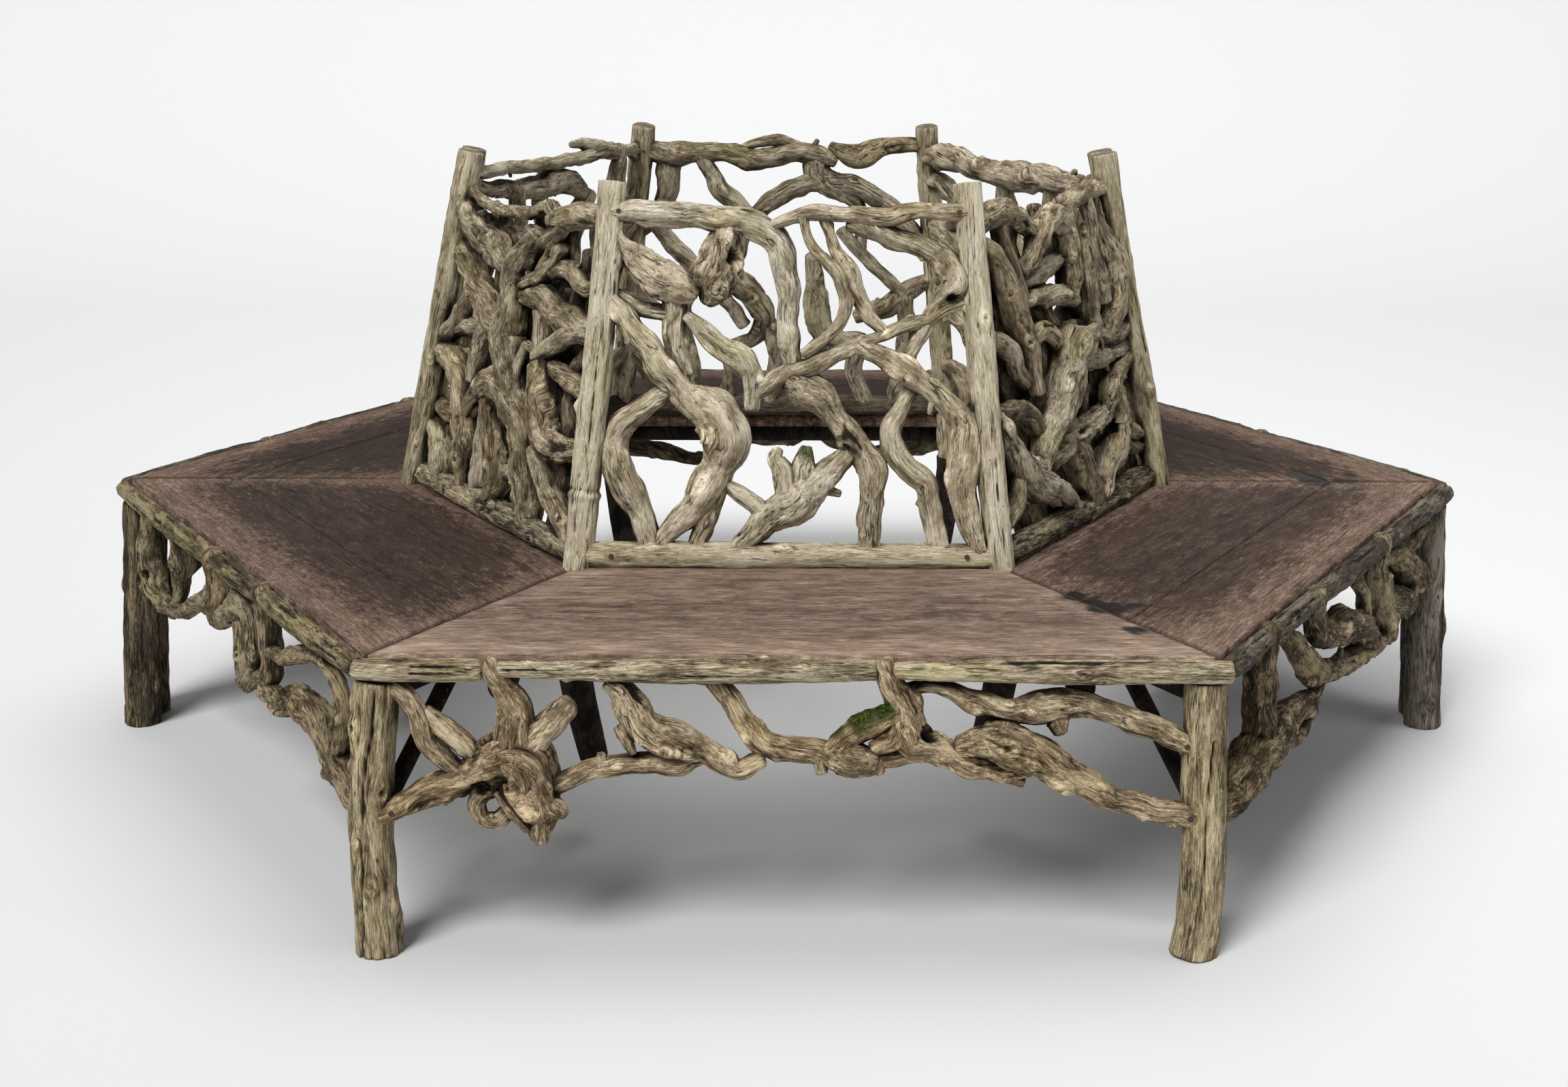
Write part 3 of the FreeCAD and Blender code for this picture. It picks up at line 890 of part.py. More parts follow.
APRONS = {
    "front": [
        [(-572, 213, 0, 14), (-540, 228, 0, 16), (-500, 252, 0, 18), (-460, 268, 0, 19), (-430, 285, 0, 28),
         (-395, 300, 0, 38), (-375, 290, 0, 45), (-360, 250, 0, 38), (-350, 220, 0, 28), (-350, 190, 0, 15)],
        [(-385, 320, 0, 30), (-380, 365, 2, 24), (-390, 395, 4, 18), (-410, 425, 12, 14), (-417, 443, 15, 13)],
        [(-365, 320, 2, 24), (-330, 355, 2, 20), (-308, 378, 2, 17)],
        [(-550, 404, 2, 12), (-528, 385, 2, 15), (-512, 352, 2, 16), (-502, 318, 2, 17), (-462, 278, 0, 14)],
        [(-508, 362, -4, 14), (-480, 340, -4, 16), (-455, 318, -4, 15), (-432, 290, -2, 12)],
        [(-348, 248, 0, 14), (-318, 262, 0, 14), (-290, 278, 0, 15), (-250, 287, 0, 16), (-200, 292, 0, 16),
         (-160, 292, 0, 17), (-118, 305, 0, 13)],
        [(-254, 410, 6, 10), (-232, 395, 6, 18), (-215, 365, 6, 22), (-190, 335, 6, 26), (-150, 325, 6, 24),
         (-120, 310, 6, 18), (-95, 295, 6, 18), (-75, 285, 6, 16), (-42, 300, 6, 13)],
        [(-106, 413, -2, 16), (-85, 385, -2, 16), (-65, 350, -2, 17), (-40, 322, -2, 18), (-10, 312, -2, 18),
         (20, 310, -2, 18), (55, 300, -2, 17), (90, 295, -2, 16), (130, 298, -2, 14), (175, 308, -2, 14)],
        [(124, 443, 15, 14), (140, 405, 8, 17), (155, 380, 4, 20), (160, 350, 2, 26), (165, 325, 2, 28),
         (190, 318, 2, 22), (220, 305, 2, 20), (245, 290, 2, 18), (270, 285, 2, 14), (300, 278, 2, 12),
         (335, 285, 2, 10)],
        [(55, 308, 4, 17), (100, 345, 4, 18), (152, 368, 4, 16)],
        [(150, 396, -4, 9), (190, 404, -4, 9), (220, 400, -4, 12), (245, 385, -4, 15), (270, 375, -4, 17),
         (300, 365, -4, 16), (350, 372, -4, 25), (400, 378, -4, 18), (450, 360, -4, 17), (500, 343, -4, 17),
         (556, 318, -4, 14)],
        [(232, 318, 4, 16), (275, 325, 4, 24), (310, 322, 4, 28), (350, 300, 4, 28), (400, 265, 4, 21),
         (450, 240, 4, 18), (500, 226, 4, 17), (550, 218, 4, 17), (574, 213, 4, 15)],
    ],
    "front_left": [
        [(-485, 412, 0, 12), (-490, 360, 0, 18), (-492, 310, 0, 24), (-470, 275, 0, 22), (-420, 262, 0, 16),
         (-350, 268, 0, 15), (-290, 280, 0, 14), (-230, 305, 0, 14), (-160, 335, 0, 14), (-110, 365, 0, 13),
         (-78, 400, 0, 11)],
        [(-552, 262, 0, 14), (-515, 268, 0, 18), (-478, 278, 0, 17)],
        [(-295, 413, -4, 19), (-290, 365, -4, 22), (-310, 330, -4, 16), (-336, 272, -4, 12)],
        [(-45, 443, 18, 17), (-50, 405, 6, 24), (-60, 360, 2, 28), (-85, 322, 0, 20), (-122, 330, 0, 13)],
        [(-58, 335, 4, 18), (-20, 345, 4, 20), (30, 375, 4, 22), (80, 385, 4, 22), (112, 360, 4, 18),
         (110, 320, 4, 18), (85, 285, 4, 24), (55, 262, 4, 20), (36, 300, 4, 13), (34, 350, 4, 12)],
        [(189, 443, 17, 16), (188, 400, 6, 18), (175, 345, 2, 18), (160, 295, 0, 18), (100, 280, 0, 15)],
        [(140, 265, 2, 15), (225, 270, 2, 18), (290, 292, 2, 24), (345, 298, 2, 26), (400, 285, 2, 24),
         (450, 255, 2, 20), (510, 222, 2, 18), (556, 211, 2, 15)],
        [(178, 345, 6, 10), (235, 345, 6, 11), (300, 368, 6, 14), (370, 388, 6, 14), (430, 396, 4, 12),
         (480, 380, 4, 12), (505, 345, 4, 12), (490, 310, 2, 12), (455, 262, 2, 11)],
        [(-262, 292, -6, 11), (-190, 318, -6, 14), (-130, 325, -6, 16), (-60, 330, -6, 14)],
    ],
    "front_right": [
        [(-556, 214, 2, 21), (-500, 215, 2, 30), (-440, 232, 2, 34), (-380, 248, 2, 34), (-320, 258, 2, 28),
         (-260, 262, 2, 22), (-190, 258, 2, 18), (-130, 250, 2, 14), (-85, 275, 2, 11)],
        [(-400, 443, 16, 15), (-398, 402, 6, 21), (-391, 352, 3, 25), (-383, 268, 1, 25)],
        [(-312, 240, 4, 13), (-235, 222, 4, 18), (-190, 215, 4, 14), (-150, 245, 4, 11)],
        [(-318, 411, 0, 12), (-250, 380, 0, 18), (-185, 335, 0, 22), (-120, 295, 0, 22), (-45, 272, 0, 20),
         (50, 260, 0, 20), (140, 250, 0, 20), (215, 242, 0, 18), (296, 240, 0, 13)],
        [(-185, 443, 16, 14), (-165, 405, 8, 18), (-130, 365, 4, 20), (-70, 342, 4, 24), (0, 335, 4, 28),
         (70, 318, 4, 28), (130, 290, 4, 26), (200, 255, 4, 18)],
        [(45, 413, 0, 10), (95, 385, 0, 12), (135, 350, 0, 12), (160, 280, 0, 12)],
        [(175, 443, 16, 15), (180, 400, 6, 20), (205, 355, 4, 24), (245, 305, 4, 24), (285, 262, 4, 22),
         (308, 232, 4, 14)],
        [(200, 390, 2, 13), (290, 385, 2, 18), (360, 362, 2, 24), (430, 325, 2, 24), (490, 290, 2, 22),
         (552, 260, 2, 16)],
        [(262, 300, 0, 18), (330, 292, 0, 26), (390, 275, 0, 26), (430, 258, 0, 18), (462, 295, 0, 13)],
        [(330, 365, 6, 12), (400, 385, 6, 14), (460, 395, 6, 16), (520, 385, 6, 16), (556, 365, 6, 13)],
    ],
    "rear": [
        [(-574, 240, 2, 14), (-500, 262, 2, 18), (-430, 285, 2, 22), (-370, 300, 2, 30), (-310, 285, 2, 26),
         (-250, 262, 2, 20), (-180, 262, 2, 18), (-90, 305, 2, 14)],
        [(-330, 443, 16, 14), (-335, 400, 6, 17), (-350, 350, 2, 20), (-370, 295, 0, 24)],
        [(-150, 412, 0, 14), (-120, 365, 0, 18), (-80, 330, 0, 20), (-20, 305, 0, 20), (50, 300, 0, 20),
         (110, 315, 0, 18), (150, 350, 0, 16), (168, 412, 0, 14)],
        [(60, 443, 16, 14), (62, 405, 8, 17), (70, 360, 4, 18), (58, 300, 2, 18)],
        [(574, 230, 2, 14), (500, 255, 2, 18), (430, 285, 2, 24), (370, 320, 2, 24), (310, 350, 2, 20),
         (250, 365, 2, 16), (150, 350, 2, 12)],
        [(330, 413, 2, 16), (335, 380, 2, 18), (352, 325, 2, 20)],
        [(75, 300, -4, 15), (180, 250, -4, 14), (250, 262, 0, 18), (330, 275, 0, 20), (440, 275, 0, 15)],
    ],
    "rear_left": [
        [(-556, 300, 0, 14), (-490, 315, 0, 20), (-430, 300, 0, 24), (-370, 270, 0, 24), (-300, 255, 0, 20),
         (-230, 262, 0, 16), (-100, 340, 0, 13)],
        [(-220, 443, 16, 15), (-222, 400, 6, 20), (-235, 350, 2, 24), (-270, 300, 0, 26), (-292, 252, 0, 17)],
        [(-124, 412, 0, 13), (-80, 370, 0, 16), (-20, 340, 0, 20), (50, 325, 0, 24), (110, 300, 0, 24),
         (178, 270, 0, 16)],
        [(210, 443, 16, 14), (205, 400, 6, 18), (190, 350, 2, 22), (165, 280, 0, 22)],
        [(556, 230, 0, 14), (480, 250, 0, 18), (410, 275, 0, 22), (340, 290, 0, 24), (270, 275, 0, 22),
         (168, 265, 0, 16)],
        [(556, 330, 0, 13), (480, 350, 0, 15), (410, 385, 0, 16), (330, 411, 0, 13)],
        [(-270, 280, 4, 13), (-160, 290, 4, 15), (-60, 355, 4, 14)],
    ],
    "rear_right": [
        [(-556, 240, 0, 14), (-480, 262, 0, 18), (-410, 300, 0, 22), (-350, 330, 0, 24), (-280, 340, 0, 20),
         (-210, 320, 0, 18), (-122, 275, 0, 15)],
        [(-100, 443, 16, 15), (-105, 400, 6, 20), (-120, 350, 2, 24), (-140, 300, 0, 24), (-130, 250, 0, 16)],
        [(-132, 300, 4, 18), (-50, 280, 0, 20), (30, 290, 0, 18), (110, 310, 0, 18), (180, 300, 0, 18),
         (262, 262, 0, 14)],
        [(260, 443, 16, 15), (255, 400, 6, 18), (245, 350, 2, 20), (252, 268, 0, 18)],
        [(556, 300, 0, 14), (480, 285, 0, 20), (410, 262, 0, 24), (340, 262, 0, 22), (280, 285, 0, 18),
         (240, 335, 0, 15)],
        [(-484, 413, 4, 13), (-440, 370, 4, 16), (-415, 320, 4, 15), (-398, 285, 4, 13)],
    ],
}

for section, routes in APRONS.items():
    half = "front_half" if section in FRONT_HALF else "rear_half"
    held = [legs[corner].Shape for corner in SECTION_CORNERS[section]] + laid + frames[half]
    held += parts[f"{section}_seat_planks"].Shape.Solids
    if "_" in section:
        held.append(beyond_split(section, size("half_gap") / 2 + size("corner_leg_diameter") / 2))
    feature(f"{section}_apron", sum(carved(section, routes, apron_point, 1, held), []))

# Nails at the ends of rails and aprons: across, height or rise, and how far out the wood's surface lies

BACK_NAILS = {
    "front": [(-262, 546, 22), (258, 546, 22)],
    "front_left": [(-262, 527, 14), (262, 534, 16)],
    "front_right": [(-258, 530, 24), (258, 534, 17)],
    "rear": [(262, 545, 17), (-258, 552, 18)],
    "rear_left": [(258, 545, 12), (-258, 546, 12)],
    "rear_right": [(258, 536, 21), (-258, 538, 19)],
}
RAIL_NAILS = [(-277, 17, 20.5), (277, 17, 20.5)]
APRON_NAILS = {
    "front": [(-556, 221, 15), (556, 217, 20), (548, 320, 10)],
    "front_left": [(547, 213, 17)],
    "front_right": [(-548, 215, 23)],
    "rear": [(-556, 245, 17), (556, 235, 17)],
    "rear_left": [(-547, 301, 14)],
    "rear_right": [(547, 299, 14)],
}


def nail(section, locate, spot):
    """Nail driven square into the plane of a back panel or an apron."""
    across, height, out = spot
    head_under = locate(section, across, height, out)
    inward = locate(section, across, height, out - 1) - head_under
    shank = Part.makeCylinder(size("nail_diameter") / 2, size("nail_length"), head_under, inward)
    head = Part.makeCylinder(size("nail_head_diameter") / 2, size("nail_head_length"), head_under, inward * -1)
    return shank.fuse(head)


for half, sections in (("front_half", FRONT_HALF), ("rear_half", REAR_HALF)):
    nails = []
    for section in sections:
        nails += [nail(section, back_point, spot) for spot in BACK_NAILS[section] + RAIL_NAILS]
        nails += [nail(section, apron_point, spot) for spot in APRON_NAILS[section]]
    feature(f"{half}_nails", nails)

# Check every object, then write each sub-part to its own file

document.recompute()
for item in document.Objects:
    if "Invalid" in item.State or "Error" in item.State:
        raise RuntimeError(f"{item.Label} can't be worked out: {item.State}")
for label, item in parts.items():
    if item.Shape.isNull() or not item.Shape.isValid():
        raise RuntimeError(f"{label} has no sound shape")
for label, item in parts.items():
    item.Shape.exportStep(f"parts/{label}.step")
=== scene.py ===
import itertools
import math

import bpy
import numpy as np
from mathutils import Matrix, Vector


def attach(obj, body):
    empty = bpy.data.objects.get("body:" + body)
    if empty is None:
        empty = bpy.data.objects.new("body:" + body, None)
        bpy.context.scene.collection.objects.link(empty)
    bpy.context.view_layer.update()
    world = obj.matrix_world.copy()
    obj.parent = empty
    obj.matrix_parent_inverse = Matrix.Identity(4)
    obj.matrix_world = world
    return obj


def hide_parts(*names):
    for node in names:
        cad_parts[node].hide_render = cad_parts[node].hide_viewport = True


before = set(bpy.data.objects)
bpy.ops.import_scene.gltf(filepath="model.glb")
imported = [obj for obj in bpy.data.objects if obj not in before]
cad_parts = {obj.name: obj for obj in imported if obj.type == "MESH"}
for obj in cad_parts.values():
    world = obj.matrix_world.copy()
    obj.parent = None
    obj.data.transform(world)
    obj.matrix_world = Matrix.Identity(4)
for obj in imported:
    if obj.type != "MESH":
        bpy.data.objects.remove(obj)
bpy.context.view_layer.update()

# Tree bench of driftwood and old boards. Routes and sizes are in millimetres, meshes in metres.

SEAT_HEIGHT = 450
BOARD_THICKNESS = 30
SEAT_INNER = 601
INNER_DEPTH = 245
OUTER_DEPTH = 165
PLANK_SEAM = 1
BOARD_SEAM = 3
HALF_GAP = 3
SEAT_OUTER = SEAT_INNER + INNER_DEPTH + PLANK_SEAM + OUTER_DEPTH
POLE_HEIGHT = 431
LEG_CIRCLE = 1157
LEG_RADIUS = 33
LEG_TOP = 412.7
POST_FOOT = 660
POST_HEAD = 542
POST_TOP = 1031
POST_RADIUS = 22.5
POST_TAIL = 95

# Widths at the foot and head of a back and its slant, as its routes were drawn
DRAWN_FOOT = 665
DRAWN_HEAD = 542
DRAWN_SLANT = 590.7

POLE_RADIUS = 18
RAIL_RADIUS = 20.5
RAIL_HEIGHT = 17
RAIL_INSET = 12
TAN_30 = math.tan(math.radians(30))
COS_30 = math.cos(math.radians(30))
APRON_PLANE = LEG_CIRCLE * COS_30 + 12
POLE_PLANE = LEG_CIRCLE * COS_30 + 28

# Share of a solid's radius that leaves room for bumps
SLIM = {"leg": 0.97, "post": 0.98, "pole": 0.93, "branch": 0.96, "rail": 0.97}

SECTIONS = {"front": 270, "front_left": 210, "front_right": 330, "rear": 90, "rear_left": 150, "rear_right": 30}
FRONT_HALF = ("front", "front_left", "front_right")
REAR_HALF = ("rear", "rear_left", "rear_right")
UP = np.array([0, 0, 1.0])
CORNERS = {
    "front_left": (240, 0), "front_right": (300, 0), "rear_left": (120, 0), "rear_right": (60, 0),
    "left_front_half": (180, -1), "right_front_half": (0, -1),
    "left_rear_half": (180, 1), "right_rear_half": (0, 1),
}

# Swell, shift outward and shift sideways of each ring of a log, from the ground up
LEG_CROOKS = {
    "front_left": [(1.01, 2, -8), (1.0, 0, -11), (0.98, 2, -12), (1.0, 2, -4), (0.97, 0, 7)],
    "front_right": [(1.06, 2, -5), (1.0, 2, 3), (0.98, 2, 2), (0.97, 0, -3), (0.94, 0, -6)],
    "rear_left": [(1.05, 3, 6), (1.0, 0, -2), (0.98, -2, 0), (0.98, 0, 2), (0.95, 0, 3)],
    "rear_right": [(1.02, -3, -4), (0.99, 3, -2), (0.98, 2, 2), (1.0, 0, 3), (0.96, -2, 0)],
    "left_front_half": [(0.98, 12, 0), (1.0, 8, 0), (0.98, 2, 0), (0.96, -6, 0), (0.94, -12, 0)],
    "right_front_half": [(0.99, 10, 0), (0.97, 6, 0), (1.0, 0, 0), (0.98, -6, 0), (0.95, -11, 0)],
    "left_rear_half": [(1.0, 12, 0), (0.98, 10, 0), (0.97, 4, 0), (0.96, -4, 0), (0.94, -10, 0)],
    "right_rear_half": [(0.97, 18, 0), (1.0, 15, 0), (0.98, 8, 0), (0.96, -1, 0), (0.95, -8, 0)],
}

POST_CROOKS = {
    "front_left": [(1.0, 0, 0), (1.04, 0, 2), (0.98, 0, 3), (0.96, 0, 0)],
    "front_right": [(0.95, 0, 0), (1.0, 0, -3), (1.02, 0, -2), (0.94, 0, 0)],
    "rear_left": [(1.0, 0, 0), (1.02, 0, -3), (1.0, 0, 2), (1.0, 0, 0)],
    "rear_right": [(1.0, 0, 0), (0.98, 0, 2), (0.96, 0, 3), (0.95, 0, 0)],
    "left_front_half": [(0.98, 0, 0), (1.0, 2, 0), (0.97, 3, 0), (0.95, 0, 0)],
    "right_front_half": [(1.0, 0, 0), (0.97, 3, 0), (1.0, -2, 0), (0.98, 0, 0)],
    "left_rear_half": [(0.97, 0, 0), (1.0, -3, 0), (1.0, 2, 0), (0.96, 0, 0)],
    "right_rear_half": [(1.0, 0, 0), (1.0, 2, 0), (0.98, 3, 0), (0.97, 0, 0)],
}

# Start and end of each pole along its section, and its radius at the start, middle and end
EDGE_POLES = {
    "front": [((-598, -438), (15, 17, 17)), ((-396, 104), (12, 18, 16)), ((144, 600), (13, 18, 17))],
    "front_left": [((-581, -74), (15, 18, 17)), ((-16, 168), (16, 17, 16)), ((210, 574), (16, 18, 16))],
    "front_right": [
        ((-574, -420), (16, 17, 15)),
        ((-378, -206), (15, 17, 16)),
        ((-164, 154), (16, 18, 17)),
        ((196, 581), (16, 18, 17)),
    ],
    "rear": [((-598, -352), (16, 18, 16)), ((-308, 38), (15, 18, 16)), ((82, 598), (16, 18, 15))],
    "rear_left": [((-574, -242), (15, 17, 16)), ((-198, 188), (15, 18, 17)), ((232, 581), (16, 18, 16))],
    "rear_right": [((-581, -122), (16, 18, 16)), ((-78, 238), (15, 17, 15)), ((282, 574), (16, 18, 15))],
}

# Routes of rails and branches: across, rise, out and radius at each point, on the plane of a back
FRONT_TOP_RAILS = [
    [
        (-272, 547, 6, 17), (-238, 545, 6, 19), (-180, 541, 6, 20), (-110, 536, 6, 21), (-58, 525, 4, 20),
        (-22, 501, 2, 21), (-8, 458, 0, 20), (-3, 400, 0, 17), (0, 350, 0, 16), (4, 315, 0, 13),
    ],
    [
        (-32, 524, 10, 7), (5, 538, 10, 10), (50, 546, 10, 13), (100, 543, 10, 13), (150, 539, 10, 14),
        (205, 548, 10, 13), (268, 546, 10, 12),
    ],
]
FRONT_BACK = [
    [(92, 532, 0, 14), (150, 512, 0, 16), (200, 495, 0, 17), (240, 470, 0, 22), (258, 438, 0, 26),
     (225, 402, 0, 15), (205, 365, 0, 13), (180, 320, 0, 11)],
    [(-272, 530, 8, 8), (-258, 500, 8, 11), (-235, 475, 8, 24), (-205, 450, 8, 30), (-172, 432, 8, 26),
     (-148, 418, 8, 14)],
    [(-103, 522, 0, 18), (-105, 495, 0, 27), (-112, 455, 0, 36), (-118, 425, 0, 26), (-128, 408, 0, 12)],
    [(-292, 430, 10, 9), (-268, 400, 10, 13), (-232, 355, 10, 16), (-195, 305, 8, 18), (-160, 268, 6, 21),
     (-118, 238, 4, 38), (-100, 195, 2, 38), (-115, 150, 0, 28), (-138, 105, 0, 24), (-175, 68, 0, 18),
     (-212, 28, 0, 11)],
    [(-110, 150, -4, 22), (-120, 100, -4, 18), (-135, 60, -4, 15), (-145, 30, -4, 14)],
    [(-180, 278, -2, 13), (-225, 247, -2, 17), (-262, 215, -2, 20), (-274, 185, -2, 24), (-268, 150, -2, 25),
     (-245, 110, -2, 24), (-226, 75, -2, 20), (-219, 30, -2, 16)],
    [(-178, 412, -6, 20), (-178, 370, -6, 18), (-176, 335, -6, 17), (-160, 298, -6, 12)],
    [(-185, 392, -6, 12), (-225, 397, -6, 12), (-252, 414, -6, 10), (-280, 425, -6, 9)],
    [(-160, 388, 6, 9), (-135, 368, 6, 14), (-105, 340, 6, 18), (-78, 325, 6, 19), (-60, 300, 6, 16),
     (-58, 245, 6, 12)],
    [(-82, 24, 0, 13), (-50, 58, 0, 20), (-12, 88, 0, 26), (18, 105, 0, 30), (55, 140, 0, 20),
     (90, 175, 0, 16), (102, 196, 0, 10)],
    [(-124, 138, 0, 7), (-90, 122, 0, 11), (-62, 104, 0, 14), (-36, 78, 0, 16)],
    [(-2, 108, 2, 20), (-8, 145, 2, 17), (-22, 168, 2, 12), (-16, 182, 2, 7)],
    [(15, 118, -2, 20), (22, 160, -2, 18), (26, 184, -2, 9)],
    [(0, 290, 0, 18), (25, 275, 0, 30), (50, 262, 0, 26), (75, 225, 0, 19), (100, 193, 0, 20),
     (128, 155, 0, 23), (128, 105, 0, 19), (124, 65, 0, 18), (126, 26, 0, 17)],
    [(-62, 262, 4, 10), (-30, 285, 4, 16), (5, 303, 6, 16), (45, 317, 6, 15), (90, 335, 6, 12),
     (120, 350, 6, 9), (155, 364, 6, 10), (200, 380, 6, 10), (245, 400, 6, 9), (290, 415, 6, 7)],
    [(18, 540, 14, 7), (30, 500, 14, 8), (55, 470, 14, 9), (75, 445, 14, 10), (86, 412, 14, 10),
     (78, 380, 14, 10), (55, 355, 14, 9), (20, 330, 12, 7)],
    [(50, 538, 2, 8), (70, 490, 2, 10), (95, 455, 2, 16), (103, 425, 2, 14), (115, 400, 2, 12),
     (146, 362, 4, 9)],
    [(105, 342, 8, 12), (140, 325, 8, 17), (175, 310, 8, 19), (205, 288, 8, 17), (240, 258, 8, 19),
     (268, 225, 8, 23), (272, 190, 8, 26), (270, 150, 8, 25), (272, 100, 8, 23), (282, 65, 8, 19),
     (298, 24, 8, 12)],
    [(200, 284, -4, 8), (174, 247, -4, 13), (159, 218, -4, 17), (160, 185, -4, 19), (182, 155, -4, 18),
     (212, 130, -4, 19), (222, 95, -4, 19), (236, 28, -4, 17)],
]
FRONT_LEFT_TOP_RAILS = [
    [(-296, 536, 4, 10), (-225, 518, 4, 11), (-160, 508, 4, 10), (-75, 507, 4, 10), (5, 515, 4, 11),
     (70, 528, 4, 12), (110, 520, 4, 14)],
    [(88, 510, 0, 18), (150, 522, 0, 24), (215, 532, 0, 20), (275, 535, 0, 16)],
]
FRONT_LEFT_BACK = [
    [(-300, 520, 4, 16), (-250, 492, 4, 22), (-180, 462, 4, 25), (-110, 440, 4, 25), (-55, 420, 4, 18)],
    [(-300, 452, 0, 16), (-260, 425, 0, 20), (-200, 392, 0, 24), (-150, 360, 0, 25), (-95, 325, 0, 24),
     (-45, 290, 0, 18), (-20, 262, 0, 14)],
    [(55, 482, 8, 14), (12, 450, 8, 24), (-8, 405, 8, 28), (-5, 355, 8, 26), (-8, 305, 8, 28),
     (15, 255, 8, 28), (45, 215, 8, 20)],
    [(-212, 372, 0, 15), (-212, 340, 0, 16), (-235, 300, 0, 18), (-275, 268, 0, 18), (-304, 252, 0, 15)],
    [(18, 486, 10, 10), (60, 486, 10, 13), (105, 480, 10, 15), (138, 505, 8, 13)],
    [(125, 474, 4, 18), (100, 440, 4, 18), (65, 415, 4, 16), (10, 395, 4, 12)],
    [(90, 428, -4, 14), (150, 440, -6, 16), (220, 420, -6, 15), (292, 430, -6, 13)],
    [(20, 378, 2, 14), (100, 385, 2, 22), (160, 368, 2, 24), (230, 362, 2, 22), (300, 356, 2, 16)],
    [(104, 291, 6, 14), (165, 325, 6, 18), (235, 352, 6, 18), (297, 371, 4, 14)],
    [(78, 372, -4, 16), (95, 330, -4, 18), (118, 285, -4, 18)],
    [(118, 280, 4, 20), (145, 235, 4, 30), (165, 190, 4, 30), (200, 165, 4, 24), (265, 172, 4, 18),
     (315, 182, 2, 13)],
    [(150, 282, -6, 16), (215, 270, -6, 18), (280, 262, -6, 15), (318, 260, -6, 12)],
    [(-318, 225, 4, 16), (-270, 238, 4, 20), (-215, 228, 4, 24), (-170, 195, 4, 26), (-142, 150, 4, 26),
     (-130, 110, 4, 24), (-128, 65, 4, 17), (-118, 22, 4, 14)],
    [(-128, 160, 0, 20), (-90, 205, 0, 26), (-30, 222, 0, 32), (35, 205, 0, 34), (85, 165, 0, 30),
     (108, 110, 0, 26), (128, 65, 0, 24), (142, 24, 0, 19)],
    [(-322, 112, 0, 15), (-275, 102, 0, 18), (-243, 75, 0, 22), (-222, 45, 0, 25), (-218, 22, 0, 22)],
    [(-318, 150, -6, 13), (-250, 138, -6, 16), (-165, 142, -6, 14)],
    [(-88, 215, -6, 14), (-86, 120, -6, 15), (-85, 70, -6, 16), (-82, 22, -6, 16)],
    [(-60, 190, 6, 15), (-18, 122, 6, 20), (10, 88, 6, 24), (5, 55, 6, 22), (-12, 22, 6, 13)],
    [(10, 82, 2, 14), (50, 92, 0, 12), (108, 98, 0, 11)],
    [(120, 140, -2, 15), (200, 92, -2, 22), (255, 60, -2, 20), (298, 26, -2, 15)],
    [(-95, 318, 6, 16), (-125, 270, 6, 16), (-130, 212, 6, 15)],
    [(-318, 262, -6, 13), (-250, 285, -6, 14), (-180, 300, -6, 15), (-108, 312, -6, 13)],
    [(105, 300, 8, 9), (68, 305, 8, 9), (48, 286, 8, 9), (40, 250, 8, 9)],
]
FRONT_RIGHT_TOP_RAILS = [
    [(-270, 528, 4, 20), (-215, 536, 4, 23), (-160, 535, 4, 20), (-105, 515, 4, 15), (-60, 492, 4, 14)],
    [(60, 522, 2, 15), (120, 527, 2, 17), (190, 532, 2, 17), (270, 535, 2, 15)],
]
